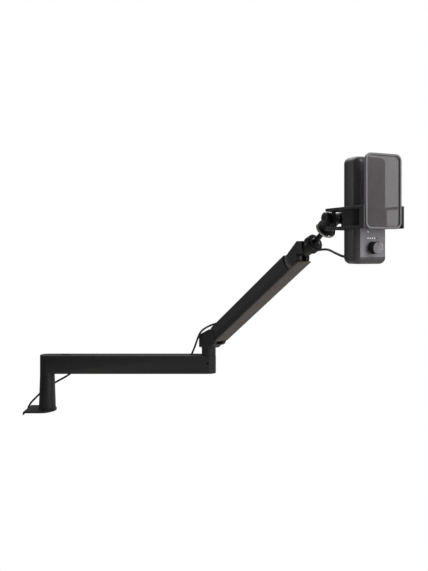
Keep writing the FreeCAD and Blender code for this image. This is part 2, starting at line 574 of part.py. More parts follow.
# Head: a fork like the elbow's, under a level block whose barrel holds the ball.
head = elbow.multiply(at(hub[0] + S.upper_length * math.cos(lift), 0,
                         hub[1] + S.upper_length * math.sin(lift)))
shoulder = (S.block_shoulder, S.block_top)
chin = (S.block_front, S.block_low)
brow = [tangent_from(shoulder, (0, 0), S.crown_radius, -1), shoulder, (S.block_front, S.block_top), chin,
        (0, S.block_low)]
socket = at(S.ball_reach, 0, S.ball_rise, 0, -S.barrel_pitch)
head_solid = fuse("head_solid", [
    rod("head_hub", "crown_radius", "knuckle_width", along_y(0, -S.knuckle_width / 2, 0)),
    plate_of("head_block", brow, "knuckle_width"),
    rod("head_barrel", "barrel_radius", "barrel_back + barrel_lip",
        socket.multiply(along_x(-S.barrel_back, 0, 0))),
])
head_cuts = [
    box("head_fork", "fork_room*5", "fork_slot", "fork_room*5", at(-S.fork_room * 4, 0, -S.fork_room * 4)),
    cross_pin("head_pin_hole", "tilt_pin_radius", pin_start, "knuckle_width - blind_wall*2", (0, 0)),
    cross_pin("head_link_hole", "link_pin_radius", 0, far_length, link_shift),
    ball("head_socket", "ball_radius + socket_gap", socket),
]
keep("head_knuckle", cut("head_knuckle", head_solid, head_cuts), head)
keep("head_pins", fuse("head_pins", [
    cross_pin("tilt_pin_upper", "tilt_pin_radius", pin_start, tilt_length, (0, 0)),
    cross_pin("link_pin_upper", "link_pin_radius", link_start, link_length, link_shift),
]), head)
collar_start = S.barrel_lip - S.loose_gap - S.collar_length
collar = rod("collar_out", "barrel_radius + running_gap + collar_wall", "collar_length",
             socket.multiply(along_x(collar_start, 0, 0)))
collar_bore = rod("collar_in", "barrel_radius + running_gap", "collar_length",
                  socket.multiply(along_x(collar_start, 0, 0)))
keep("lock_collar", cut("lock_collar", collar, [collar_bore]), head)
boot_dir = V(0.80, 0.58, 0.15).normalize()
boot_foot = V(S.gland_x, S.knuckle_width / 2, S.gland_z) - boot_dir * S.gland_radius * 2
boot = rod("gland_rod", "gland_radius", "gland_radius*2 + gland_length",
           between(boot_foot, boot_foot + boot_dir))
keep("lead_gland", cut("lead_gland", boot, [head_solid]), head)

# Ball stud: ball, stem and mounting thread in one piece. A flange nut locks the mount's boss on the thread.
turn_in = S.elbow_turn - S.mount_turn
stud = head.multiply(at(S.ball_reach, 0, S.ball_rise, turn_in, -S.stem_pitch))
thread_at = S.flange_at - S.thread_lead
keep("ball_stud", fuse("ball_stud", [
    ball("stud_ball", "ball_radius", at()),
    rod("stud_stem", "stem_radius", "flange_at", along_x(0, 0, 0)),
    rod("stud_thread", "thread_radius", "thread_length", along_x(thread_at, 0, 0)),
]), stud)
flange = rod("flange_disc", "flange_radius", "flange_thick", along_x(S.flange_at, 0, 0))
flange = rounded("flange_soft", flange, S.flange_thick / 3, lambda e: e.Curve.TypeId == "Part::GeomCircle")
flange_bore = rod("flange_bore", "thread_radius + running_gap", "flange_thick", along_x(S.flange_at, 0, 0))
keep("flange_nut", cut("flange_nut", flange, [flange_bore]), stud)
boss_at = S.flange_at + S.flange_thick
neck_start = boss_at + S.boss_length - S.edge_round
boss_solid = fuse("boss_solid", [
    rod("boss_round", "boss_radius", "boss_length", along_x(boss_at, 0, 0)),
    box("boss_neck", "pivot_at - flange_at - flange_thick - boss_length + edge_round",
        "lug_width", "lug_radius*2", at(neck_start, 0, -S.lug_radius)),
    rod("boss_lug", "lug_radius", "lug_width", along_y(S.pivot_at, -S.lug_width / 2, 0)),
])
boss_cuts = [
    rod("boss_bore", "thread_radius + running_gap", "thread_length - thread_lead - flange_thick + loose_gap",
        along_x(boss_at, 0, 0)),
    rod("boss_eye", "bolt_radius + running_gap", "lug_width", along_y(S.pivot_at, -S.lug_width / 2, 0)),
]
keep("mount_boss", cut("mount_boss", boss_solid, boss_cuts), stud)

# Shock mount: an open frame of two rails round the microphone, tilting on the boss's cross bolt.
pivot = stud.multVec(V(S.pivot_at, 0, 0))
mount = at(pivot.x, pivot.y, pivot.z, -S.mount_turn)
outer = box("frame_outer", "frame_depth - frame_back", "frame_half*2", "frame_height",
            at(S.frame_back, 0, S.frame_low))
outer = rounded("frame_outer_soft", outer, S.frame_corner,
                lambda e: along(Z_AXIS)(e) and e.BoundBox.XMax < S.frame_back + 1)
inner = box("frame_inner", "frame_depth - frame_back", "(frame_half - frame_bar)*2", "frame_height",
            at(S.frame_back + S.frame_bar, 0, S.frame_low))
inner = rounded("frame_inner_soft", inner, S.frame_corner - S.frame_bar,
                lambda e: along(Z_AXIS)(e) and e.BoundBox.XMax < S.frame_back + S.frame_bar + 1)
hoop = cut("frame_hoop", outer, [inner])
window_low = S.frame_low + S.rail_height
hoop_cuts = [
    box("frame_window", "frame_depth - tip_length - window_start", "frame_half*3",
        "frame_height - rail_height*2", at(S.window_start, 0, window_low)),
    box("frame_rear_window", "window_start", "window_half*2", "frame_height - rail_height*2",
        at(0, 0, window_low)),
]
ear_y = S.lug_width / 2 + S.ear_gap + S.ear_thick / 2
ears = []
for i, side in enumerate((-1, 1)):
    ear_root = box("ear_root%d" % i, "frame_bar*2", "ear_thick", "frame_height",
                   at(S.frame_back - S.frame_bar, side * ear_y, S.frame_low))
    ear_arm = box("ear_arm%d" % i, "frame_back", "ear_thick", "ear_radius*2",
                  at(0, side * ear_y, -S.ear_radius))
    ear_end = rod("ear_end%d" % i, "ear_radius", "ear_thick", along_y(0, side * ear_y - S.ear_thick / 2, 0))
    ears += [ear_root, ear_arm, ear_end]
ear_span = S.lug_width + (S.ear_gap + S.ear_thick) * 2
frame_bores = [rod("frame_bolt_hole", "bolt_radius", "frame_half*2", along_y(0, -S.frame_half, 0))]
keep("shock_frame", cut("shock_frame", fuse("frame_solid", [cut("frame_rails", hoop, hoop_cuts)] + ears),
                        frame_bores), mount)
bolt_head = rod("bolt_cap", "bolt_radius*2", "ear_thick", along_y(0, ear_span / 2, 0))
bolt_shank = rod("bolt_shank", "bolt_radius", "lug_width + (ear_gap + ear_thick)*2 + tilt_knob_length",
                 along_y(0, -ear_span / 2 - S.tilt_knob_length, 0))
keep("tilt_bolt", fuse("tilt_bolt", [bolt_head, bolt_shank]), mount)
tilt_knob = rod("tilt_disc", "tilt_knob_radius", "tilt_knob_length",
                along_y(0, -ear_span / 2 - S.ear_gap - S.tilt_knob_length, 0))
tilt_bore = rod("tilt_bore", "bolt_radius + running_gap", "tilt_knob_length",
                along_y(0, -ear_span / 2 - S.ear_gap - S.tilt_knob_length, 0))
keep("tilt_knob", cut("tilt_knob", tilt_knob, [tilt_bore]), mount)

# Microphone: two shells round a circuit board that carries the capsule, the dial and the socket.
mic_x = S.frame_depth - S.mic_setback
mic_back = mic_x - S.mic_thick / 2
mic_front = mic_x + S.mic_thick / 2
seam = mic_x - S.mic_seam


def case(name, inset, corner, edge):
    """A block with round upright corners and softened ends, smaller than the microphone by an inset."""
    less = " - mic_wall*2" if inset else ""
    block = box(name, "mic_thick" + less, "mic_width" + less, "mic_height" + less,
                at(mic_back + inset, 0, S.mic_bottom + inset))
    block = rounded(name + "_round", block, corner, along(Z_AXIS))
    low, high = S.mic_bottom + inset, S.mic_bottom + S.mic_height - inset
    return rounded(name + "_soft", block, edge, on_level(low, high))


skin = cut("mic_skin", case("mic_out", 0, S.mic_corner, S.mic_edge),
           [case("mic_in", S.mic_wall, S.mic_corner - S.mic_wall, S.mic_edge - S.mic_wall)])
rear_room = box("mic_rear_room", "mic_thick/2 - mic_seam", "mic_width", "mic_height",
                at(mic_back, 0, S.mic_bottom))
front_room = box("mic_front_room", "mic_thick/2 + mic_seam", "mic_width", "mic_height",
                 at(seam, 0, S.mic_bottom))
plug_z = S.mic_bottom + S.plug_up
socket_hole = box("mic_socket_hole", "mic_wall*2", "shell_width + loose_gap*4", "shell_height + loose_gap*4",
                  at(mic_back - S.mic_wall / 2, 0, plug_z - S.shell_height / 2 - S.loose_gap * 2))
keep("mic_rear_shell", cut("mic_rear", common("mic_rear_half", skin, rear_room), [socket_hole]), mount)
panel_at = at(mic_front - S.panel_thick, 0, S.mic_bottom + S.panel_low)
grille_at = at(mic_front - S.grille_thick, 0, S.mic_bottom + S.grille_low)
front_cuts = [
    box("mic_panel_room", "mic_wall*2", "panel_width", "panel_height", panel_at.multiply(at(-S.mic_wall))),
    box("mic_grille_room", "mic_wall*2", "panel_width", "grille_height", grille_at.multiply(at(-S.mic_wall))),
]
keep("mic_front_shell", cut("mic_front", common("mic_front_half", skin, front_room), front_cuts), mount)
keep("mic_grille", box("mic_grille", "grille_thick", "panel_width", "grille_height", grille_at), mount)
dial_z = S.mic_bottom + S.dial_up
lights = [(S.light_pitch * (i - (S.light_count - 1) / 2), S.mic_bottom + S.light_up)
          for i in range(int(S.light_count))]
panel_cuts = [rod("panel_dial_hole", "shaft_radius + loose_gap", "panel_thick",
                  along_x(mic_front - S.panel_thick, 0, dial_z))]
guides = []
for i, (y, z) in enumerate(lights):
    panel_cuts.append(rod("panel_light%d" % i, "light_radius", "panel_thick",
                          along_x(mic_front - S.panel_thick, y, z)))
    guides.append(rod("light%d" % i, "light_radius", "panel_thick", along_x(mic_front - S.panel_thick, y, z)))
panel = box("panel_plate", "panel_thick", "panel_width", "panel_height", panel_at)
keep("mic_panel", cut("mic_panel", panel, panel_cuts), mount)
keep("light_guides", fuse("light_guides", guides), mount)

board_x = seam + S.mic_wall
board = box("board_plate", "board_thick", "mic_width - mic_wall*2 - block_gap*2", "board_height",
            at(board_x, 0, S.mic_bottom + S.board_low))
board_face = board_x + S.board_thick
keep("mic_capsule", rod("mic_capsule", "capsule_radius", "capsule_length",
                        along_x(board_face, 0, S.mic_bottom + S.capsule_up)), mount)
encoder_depth = mic_front - S.panel_thick - S.loose_gap - board_face
encoder = box("encoder_box", "encoder_width", "encoder_width", "encoder_width",
              at(board_face, 0, dial_z - S.encoder_width / 2))
encoder.setExpression("Length", "%.6f" % encoder_depth)
shaft_at = mic_front + S.dial_gap + S.dial_height / 2 - S.shaft_length
encoder_bore = rod("encoder_bore", "shaft_radius + running_gap", "shaft_length",
                   along_x(shaft_at - S.dial_gap, 0, dial_z))
keep("dial_shaft", rod("dial_shaft", "shaft_radius", "shaft_length", along_x(shaft_at, 0, dial_z)), mount)
dial = rod("dial_disc", "dial_radius", "dial_height", along_x(mic_front + S.dial_gap, 0, dial_z))
dial = rounded("dial_soft", dial, S.edge_round, lambda e: e.Curve.TypeId == "Part::GeomCircle")
dial_bore = rod("dial_bore", "shaft_radius + running_gap", "dial_height/2 + running_gap",
                along_x(mic_front + S.dial_gap, 0, dial_z))
keep("dial", cut("dial", dial, [dial_bore]), mount)
port = box("port_box", "mic_thick", "shell_width + loose_gap*2", "shell_height + loose_gap*2",
           at(mic_back + S.mic_wall / 2, 0, plug_z - S.shell_height / 2 - S.loose_gap))
port.setExpression("Length", "%.6f" % (board_x - mic_back - S.mic_wall / 2))
port_hole = box("port_hole", "shell_length + loose_gap - mic_wall/2", "shell_width", "shell_height",
                at(mic_back + S.mic_wall / 2, 0, plug_z - S.shell_height / 2))
board = fuse("board_solid", [board, encoder, port])
keep("mic_board", cut("mic_board", board, [encoder_bore, port_hole]), mount)

# Inner band on the microphone, hung in the frame on short elastic cords.
band_low = S.frame_low + (S.frame_height - S.band_height) / 2
grown = "band_gap*2 + band_thick*2"


def sleeve_of(name, extra, grow, height):
    block = box(name, "mic_thick + " + extra, "mic_width + " + extra, height,
                at(mic_back - grow, 0, band_low))
    return rounded(name + "_round", block, S.mic_corner + grow, along(Z_AXIS))


band = cut("mic_band", sleeve_of("band_out", grown, S.band_gap + S.band_thick, "band_height"),
           [sleeve_of("band_in", "band_gap*2", S.band_gap, "band_height")])
keep("mic_band", band, mount)
band_half = S.mic_width / 2 + S.band_gap + S.band_thick
cords = []
rail_half = S.frame_half - S.frame_bar
corner_x = S.mic_thick / 2 - S.mic_corner
for end in (-1, 1):
    for side in (-1, 1):
        for level in (-1, 1):
            z = S.frame_low + S.frame_height / 2 + level * (S.frame_height - S.rail_height) / 2
            reach = mic_x + end * (corner_x + (S.mic_corner + S.band_gap + S.band_thick) * math.sqrt(0.5))
            shy = S.mic_width / 2 - S.mic_corner + (S.mic_corner + S.band_gap + S.band_thick) * math.sqrt(0.5)
            slant = V(end, side, 0) * math.sqrt(0.5)
            inside = V(reach, side * shy, z) + slant * S.elastic_gap
            room = rail_half - S.elastic_gap - S.elastic_radius * math.sqrt(0.5) - abs(inside.y)
            cord = rod("elastic%d%d%d" % (end + 1, side + 1, level + 1), "elastic_radius", "elastic_radius",
                       between(inside, inside + slant))
            cord.setExpression("Height", "%.6f" % (room * math.sqrt(2)))
            cords.append(cord)
keep("elastic_cords", fuse("elastic_cords", cords), mount)

# Pop screen: a rim with a fine net, held between the frame's tips.
pop_x = S.frame_depth - S.pop_thick


def rim_block(name, inset, less):
    block = box(name, "pop_thick", "pop_width" + less, "pop_height" + less,
                at(pop_x, 0, S.pop_low + inset))
    return rounded(name + "_round", block, S.pop_corner - inset, along(X_AXIS))


pop_rim = cut("pop_rim", rim_block("pop_out", 0, ""), [rim_block("pop_in", S.pop_rim, " - pop_rim*2")])
keep("pop_frame", pop_rim, mount)
net_size = (S.pop_width - S.pop_rim * 2, S.pop_height - S.pop_rim * 2)
sheet_low = S.pop_low + S.pop_rim
net_plate = box("net_plate", "net_thick", "pop_width - pop_rim*2", "pop_height - pop_rim*2",
                at(pop_x + (S.pop_thick - S.net_thick) / 2, 0, sheet_low))
net_plate = rounded("net_round", net_plate, S.pop_corner - S.pop_rim, along(X_AXIS))
columns = int((net_size[0] - S.net_pitch) / S.net_pitch)
rows = int((net_size[1] - S.net_pitch) / S.net_pitch)
doc.recompute()
net_face = min((f for f in net_plate.Shape.Faces if f.Surface.TypeId == "Part::GeomPlane"
                and abs(f.Surface.Axis.x) > 0.9), key=lambda f: f.CenterOfMass.x)
holes = []
for i in range(columns):
    for k in range(rows):
        y = (i - (columns - 1) / 2) * S.net_pitch
        z = sheet_low + net_size[1] / 2 + (k - (rows - 1) / 2) * S.net_pitch
        ring = Part.Circle(V(net_face.CenterOfMass.x, y, z), X_AXIS, S.net_hole)
        holes.append(Part.Wire([ring.toShape()]))
pierced = Part.Face([net_face.OuterWire] + holes, "Part::FaceMakerBullseye")
net = doc.addObject("Part::Feature", "pop_net")
net.Shape = pierced.extrude(V(S.net_thick, 0, 0))
keep("pop_net", net, mount)

# Lead: one cable from the microphone's plug through both arms to the desk's edge. Its free stretches
# and the stretches inside the arms follow each other end to end.
ROUTES = {
    "lead_base": (None, [(-57, 34, -104), (-57.5, 34.5, -74), (-57, 35, -44), (-55, 34.5, -16), (-47, 32, 6),
                         (-33, 28, 20), (-17, 24.5, 36), (0, 21.5, 48), (18, 17, 59), (36, 9, 69),
                         (50, 0.9, 79), (62, -0.6, 86.5)]),
    "lead_lower_arm": (None, [(62, -0.6, 86.5), (74.6, -2.175, 94.375), (102, -4, 96), (150, -4.5, 95),
                              (205, 3, 93.5), (245, 3.5, 92.8), (272, 1.5, 93.5), (287.5, 0.5, 96.5),
                              (297.325, 0.085, 103.375), (302, 0, 114)]),
    "lead_elbow_low": (None, [(302, 0, 114), (307.5, -0.1, 126.5), (312, -0.45, 138.3),
                              (315, -1.525, 147.3)]),
    "lead_elbow_high": (None, [(315, -1.525, 147.3), (318, -2.6, 156.3), (322.6, -5.1, 165.8),
                               (329, -7.9, 172.4), (338.5, -12.8, 178.6), (350, -18.6, 184),
                               (362.5, -25.2, 188.2), (373.2, -33.4, 190.6), (380.6, -42.2, 192.6),
                               (387.2, -52, 196.9), (393.9, -61.9, 203.45)]),
    "lead_upper_arm": (upper, [(70.9, 9.8, 7.9), (102, 9.7, 7.3), (150, 10, 7.6), (200, 9.7, 8.2),
                               (245, 9.9, 7.4), (272, 9.7, 7.9)]),
    "lead_head": (None, [(523.8, -240.67, 337.25), (533.1, -244, 338.75), (541, -251, 339.7),
                         (546, -262.5, 338.6), (547.6, -270.4, 337)]),
    "lead_middle": (None, [(547.6, -270.4, 337), (549.2, -278.3, 335.4), (551.8, -293.5, 332.7),
                           (552.85, -305.25, 331.2)]),
    "lead_mic": (None, [(552.85, -305.25, 331.2), (553.9, -317, 329.7), (553.8, -339.5, 328.1),
                        (559.73, -354.23, 327.98)]),
}
ARC_SHARE = 0.45


def route_wire(name, points):
    """Straight runs joined by tangent arcs, each as large as its two runs allow."""
    edges, radii = [], []
    start = points[0]
    for before, corner, after in zip(points, points[1:], points[2:]):
        back_way, on_way = before - corner, after - corner
        shorter = min(back_way.Length, on_way.Length)
        turn = math.pi - back_way.getAngle(on_way)
        trim = ARC_SHARE * shorter
        radii.append(trim / math.tan(turn / 2))
        first = corner + back_way.normalize() * trim
        last = corner + on_way.normalize() * trim
        inward = (back_way + on_way).normalize()
        middle = corner + inward * (radii[-1] / math.cos(turn / 2) - radii[-1])
        edges.append(Part.LineSegment(start, first).toShape())
        edges.append(Part.Arc(first, middle, last).toShape())
        start = last
    edges.append(Part.LineSegment(start, points[-1]).toShape())
    print("%-16s radii" % name, " ".join("%.0f" % r for r in radii))
    return Part.Wire(edges)


lead_length = 0.0
for name, (place, points) in ROUTES.items():
    path = route_wire(name, [V(*p) for p in points])
    ring = Part.Circle(path.Edges[0].Vertexes[0].Point, path.Edges[0].tangentAt(0), S.cord_radius)
    tube = path.makePipeShell([Part.Wire([ring.toShape()])], True, False)
    expected = math.pi * S.cord_radius ** 2 * path.Length
    print("%-16s volume %.1f, section times length %.1f" % (name, tube.Volume, expected))
    lead_length += path.Length
    stretch = doc.addObject("Part::Feature", name)
    stretch.Shape = tube
    keep(name, stretch, place)
print("lead drawn %.0f mm" % lead_length)


def plug(name):
    """A moulded plug that points along +X, with its cable end at the origin."""
    grip = box(name + "_grip", "plug_length - loose_gap", "plug_width", "plug_height",
               at(0, 0, -S.plug_height / 2))
    grip = rounded(name + "_soft", grip, S.plug_height / 3, along(X_AXIS))
    shell = box(name + "_shell", "shell_length + loose_gap", "shell_width - loose_gap/2",
                "shell_height - loose_gap/2",
                at(S.plug_length - S.loose_gap, 0, S.loose_gap / 4 - S.shell_height / 2))
    return fuse(name, [grip, shell])


keep("mic_plug", plug("mic_plug"), mount.multiply(at(mic_back - S.plug_length, 0, plug_z)))
tail_end = V(*ROUTES["lead_base"][1][0])
keep("desk_plug", plug("desk_plug"), at(tail_end.x, tail_end.y, tail_end.z, 0, 90))

# Export of the finished pieces.
doc.recompute()
for thing in doc.Objects:
    if "Invalid" in thing.State or "Error" in thing.State:
        raise RuntimeError("%s failed: %s" % (thing.Label, thing.State))
os.makedirs("parts", exist_ok=True)
for name, thing in PARTS.items():
    if thing.Shape.isNull() or not thing.Shape.isValid():
        raise RuntimeError("bad shape: " + name)
    thing.Shape.exportStep("parts/%s.step" % name)
    print("%-22s %2d solids %10.1f mm3" % (name, len(thing.Shape.Solids), thing.Shape.Volume))
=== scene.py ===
import json
import math

import bpy
from mathutils import Matrix, Vector

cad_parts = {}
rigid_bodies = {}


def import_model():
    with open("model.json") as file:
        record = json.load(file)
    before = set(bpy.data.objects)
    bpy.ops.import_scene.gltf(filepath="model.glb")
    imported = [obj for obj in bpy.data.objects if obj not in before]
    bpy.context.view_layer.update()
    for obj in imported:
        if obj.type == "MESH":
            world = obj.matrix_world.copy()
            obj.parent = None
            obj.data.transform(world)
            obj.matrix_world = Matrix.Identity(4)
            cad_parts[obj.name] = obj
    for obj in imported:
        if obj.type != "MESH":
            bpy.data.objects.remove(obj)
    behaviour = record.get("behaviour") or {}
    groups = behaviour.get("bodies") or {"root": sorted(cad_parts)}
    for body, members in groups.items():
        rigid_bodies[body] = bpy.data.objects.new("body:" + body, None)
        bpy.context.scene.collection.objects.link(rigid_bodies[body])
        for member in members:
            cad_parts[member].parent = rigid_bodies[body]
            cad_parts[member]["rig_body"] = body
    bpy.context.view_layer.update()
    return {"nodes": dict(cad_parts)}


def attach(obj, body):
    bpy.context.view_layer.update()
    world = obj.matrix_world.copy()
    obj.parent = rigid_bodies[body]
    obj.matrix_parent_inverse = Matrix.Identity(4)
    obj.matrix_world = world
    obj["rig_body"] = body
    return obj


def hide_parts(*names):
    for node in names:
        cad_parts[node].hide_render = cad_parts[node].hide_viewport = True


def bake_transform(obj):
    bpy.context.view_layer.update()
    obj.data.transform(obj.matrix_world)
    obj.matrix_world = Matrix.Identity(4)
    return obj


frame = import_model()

# Viewpoint of the photograph: a level camera in front of the arm, a little above the desk.
# The lens and the downward shift come from the photograph's own picture of 428 by 571 pixels.
LONG_SIDE_PIXELS = 571
FOCAL_PIXELS = 630
HORIZON_ROW = 249.5
SENSOR_MM = 36
scene = bpy.context.scene
scene.view_settings.view_transform = "Standard"
bpy.ops.object.camera_add(location=(0.35106, -1.32755, 0.33925), rotation=(math.radians(90), 0, 0))
camera = bpy.context.object
camera.data.sensor_width = SENSOR_MM
camera.data.lens = SENSOR_MM * FOCAL_PIXELS / LONG_SIDE_PIXELS
camera.data.shift_y = HORIZON_ROW / LONG_SIDE_PIXELS - 0.5
scene.camera = camera

# Studio: soft light from a large panel overhead, a long panel on the right, a weak one on the left and one
# behind, round a pale desk top whose left edge is in the clamp's throat. None of it belongs to the arm.


def linear(code):
    """An sRGB hex colour as linear RGBA."""
    parts = [int(code[i:i + 2], 16) / 255 for i in (1, 3, 5)]
    return [c / 12.92 if c <= 0.04045 else ((c + 0.055) / 1.055) ** 2.4 for c in parts] + [1]


def add(tree, kind, inputs=None, **settings):
    """One node with its settings; an input takes a value or the socket that feeds it."""
    made = tree.nodes.new(kind)
    for name, value in settings.items():
        setattr(made, name, value)
    for name, value in (inputs or {}).items():
        if isinstance(value, bpy.types.NodeSocket):
            tree.links.new(value, made.inputs[name])
        else:
            made.inputs[name].default_value = value
    return made


SKY_TO_EYE, SKY_TO_ARM = 1.0, 0.12
studio = bpy.data.worlds.new("studio")
scene.world = studio
studio.use_nodes = True
studio.node_tree.nodes.clear()
sky = studio.node_tree
seen = add(sky, "ShaderNodeLightPath")
eye_sky = add(sky, "ShaderNodeBackground", {"Color": linear("#ffffff"), "Strength": SKY_TO_EYE})
arm_sky = add(sky, "ShaderNodeBackground", {"Color": linear("#ffffff"), "Strength": SKY_TO_ARM})
both = add(sky, "ShaderNodeMixShader", {0: seen.outputs["Is Camera Ray"], 1: arm_sky.outputs[0],
                                        2: eye_sky.outputs[0]})
add(sky, "ShaderNodeOutputWorld", {"Surface": both.outputs[0]})
# Each light: its name, where it stands and what it faces, its width and height in metres, and its watts.
STUDIO_LIGHTS = (
    ("overhead_panel", (0.30, 0.45, 1.55), (0.30, 0.05, 0.10), 1.6, 1.0, 22.0),
    ("right_panel", (1.30, -1.15, 0.80), (0.50, -0.25, 0.30), 0.45, 1.5, 15.0),
    ("left_panel", (-1.00, -0.10, 0.80), (0.35, -0.15, 0.25), 0.5, 1.2, 3.0),
    ("rear_panel", (1.55, 1.15, 0.75), (0.30, -0.05, 0.20), 0.6, 1.2, 12.0),
)
for light_name, stand, aim, width, height, watts in STUDIO_LIGHTS:
    bpy.ops.object.light_add(type="AREA", location=stand)
    panel = bpy.context.object
    panel.name = light_name
    panel.data.shape = "RECTANGLE"
    panel.data.size = width
    panel.data.size_y = height
    panel.data.energy = watts
    panel.rotation_euler = (Vector(aim) - Vector(stand)).to_track_quat("-Z", "Y").to_euler()
# The desk is pale to the light that falls on it, and plain white to the eye, as in a cut-out photograph.
desk_finish = bpy.data.materials.new("white_desk_top")
desk_finish.use_nodes = True
tree = desk_finish.node_tree
tree.nodes.clear()
matt = add(tree, "ShaderNodeBsdfDiffuse", {"Color": linear("#b8b6b3")})
glow = add(tree, "ShaderNodeEmission", {"Color": linear("#ffffff"), "Strength": 1.0})
looked_at = add(tree, "ShaderNodeLightPath")
lit = add(tree, "ShaderNodeMixShader",
          {0: looked_at.outputs["Is Camera Ray"], 1: matt.outputs[0], 2: glow.outputs[0]})
add(tree, "ShaderNodeOutputMaterial", {"Surface": lit.outputs[0]})
DESK_EDGE_X, DESK_MIDDLE_Y = -0.0399, -0.2
DESK_SPAN, DESK_THICK, DESK_DROP = 3.2, 0.0296, 0.0002
desk_middle = (DESK_EDGE_X + DESK_SPAN / 2, DESK_MIDDLE_Y, -DESK_THICK / 2 - DESK_DROP)
bpy.ops.mesh.primitive_cube_add(size=1, location=desk_middle, scale=(DESK_SPAN, DESK_SPAN, DESK_THICK))
desk = bpy.context.object
desk.name = "desk_top"
desk.data.materials.append(desk_finish)

# Clamp: one strip of 3.8 mm steel, bent to a C round the desk's edge and coated in matt black powder.
# A rubber pad is glued under its plate, and the screw's nut is riveted into the lower jaw.
SAME_POINT = 2e-6
FLAT_WITHIN = math.radians(0.6)


def alone(piece):
    """Leaves one piece selected and active."""
    bpy.ops.object.select_all(action="DESELECT")
    piece.select_set(True)
    bpy.context.view_layer.objects.active = piece


def softened(node, ease_mm, skin_finish, steps=2, corner=30):
    """A copy of a solid's skin with its sharp edges eased, worn by the body that the solid rides on."""
    solid = frame["nodes"][node]
    piece = solid.copy()
    piece.data = solid.data.copy()
    piece.parent = None
    piece.name = node + "_skin"
    for mark in list(piece.keys()):
        del piece[mark]
    scene.collection.objects.link(piece)
    alone(piece)
    bpy.ops.object.mode_set(mode="EDIT")
    bpy.ops.mesh.select_all(action="SELECT")
    bpy.ops.mesh.remove_doubles(threshold=SAME_POINT)
    bpy.ops.mesh.dissolve_limited(angle_limit=FLAT_WITHIN)
    bpy.ops.object.mode_set(mode="OBJECT")
    ease = piece.modifiers.new("eased_edges", "BEVEL")
    ease.width = ease_mm / 1000
    ease.segments = steps
    ease.limit_method = "ANGLE"
    ease.angle_limit = math.radians(corner)
    bpy.ops.object.modifier_apply(modifier=ease.name)
    bpy.ops.object.shade_smooth_by_angle(angle=math.radians(corner))
    level = piece.modifiers.new("flat_faces_stay_flat", "WEIGHTED_NORMAL")
    level.keep_sharp = True
    level.weight = 80
    bpy.ops.object.modifier_apply(modifier=level.name)
    piece.data.materials.clear()
    piece.data.materials.append(skin_finish)
    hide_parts(node)
    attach(piece, solid["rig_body"])
    return piece


# Hands polish a coat in patches of about 40 mm and rub it paler where an edge stands out.
HANDLED_MM = 40
EDGE_STARTS, EDGE_FULL, EDGE_SHARE = 0.53, 0.62, 0.6
NOISE_LOW, NOISE_HIGH = 0.3, 0.7


def coating(name, dark, light, grain_mm, dull, relief_mm, rubbed, ior=1.5, metallic=0.0):
    """A finish whose shade and relief follow its grain, duller in patches and paler on rubbed edges."""
    made = bpy.data.materials.new(name)
    made.use_nodes = True
    tree = made.node_tree
    skin = tree.nodes["Principled BSDF"]
    where = add(tree, "ShaderNodeTexCoord")
    grain = add(tree, "ShaderNodeTexNoise", {"Vector": where.outputs["Object"], "Scale": 1000 / grain_mm,
                                             "Detail": 2, "Roughness": 0.6})
    patch = add(tree, "ShaderNodeTexNoise", {"Vector": where.outputs["Object"], "Scale": 1000 / HANDLED_MM,
                                             "Detail": 3})
    depth = add(tree, "ShaderNodeMapRange", {"Value": grain.outputs["Fac"], "From Min": NOISE_LOW,
                                             "From Max": NOISE_HIGH})
    shade = add(tree, "ShaderNodeMix", {"Factor": depth.outputs["Result"], 6: linear(dark), 7: linear(light)},
                data_type="RGBA")
    form = add(tree, "ShaderNodeNewGeometry")
    edge = add(tree, "ShaderNodeMapRange", {"Value": form.outputs["Pointiness"], "From Min": EDGE_STARTS,
                                            "From Max": EDGE_FULL, "To Max": EDGE_SHARE})
    worn = add(tree, "ShaderNodeMix",
               {"Factor": edge.outputs["Result"], 6: shade.outputs[2], 7: linear(rubbed)}, data_type="RGBA")
    gloss = add(tree, "ShaderNodeMapRange", {"Value": patch.outputs["Fac"], "From Min": NOISE_LOW,
                                             "From Max": NOISE_HIGH, "To Min": dull[0], "To Max": dull[1]})
    relief = add(tree, "ShaderNodeBump", {"Height": grain.outputs["Fac"], "Distance": relief_mm / 1000,
                                          "Strength": 0.6})
    tree.links.new(worn.outputs[2], skin.inputs["Base Color"])
    tree.links.new(gloss.outputs["Result"], skin.inputs["Roughness"])
    tree.links.new(relief.outputs["Normal"], skin.inputs["Normal"])
    skin.inputs["IOR"].default_value = ior
    skin.inputs["Metallic"].default_value = metallic
    return made


# Powder coat on steel: sprayed dry and baked, so it dries with an orange-peel grain of about 0.3 mm. That is
# finer than a pixel here and is drawn at 0.9 mm.
powder_coat = coating("black_powder_coat_on_steel", "#0d0c0d", "#1c1b1c", 0.9, (0.46, 0.58), 0.03, "#353434")
softened("clamp_frame", 0.5, powder_coat)
# Nitrile rubber, cut from sheet: matt, black and faintly dusty.
sheet_rubber = coating("cut_nitrile_rubber", "#0c0c0c", "#1b1a1a", 1.4, (0.72, 0.86), 0.05, "#262525", 1.52)
softened("desk_pad", 0.25, sheet_rubber)

# Clamp screw: a rolled trapezoidal thread of 4 mm pitch in zinc-plated steel, which turns in the jaw's nut.
# It is drawn as a real helix. On its upper end sits the pressure plate, turned from the same steel, with a
# glued rubber pad that meets the desk.
SCREW_X = -4.0
THREAD_PITCH, THREAD_LOW, THREAD_HIGH = 4.0, -100.0, -36.2
CREST, ROOT = 5.0, 3.9
SHANK_RADIUS, SHANK_LENGTH = 4.4, 15.0
CORE_RADIUS, CORE_HIGH = 3.95, -36.4
TIP_RADIUS, TIP_HIGH = 3.4, -34.1


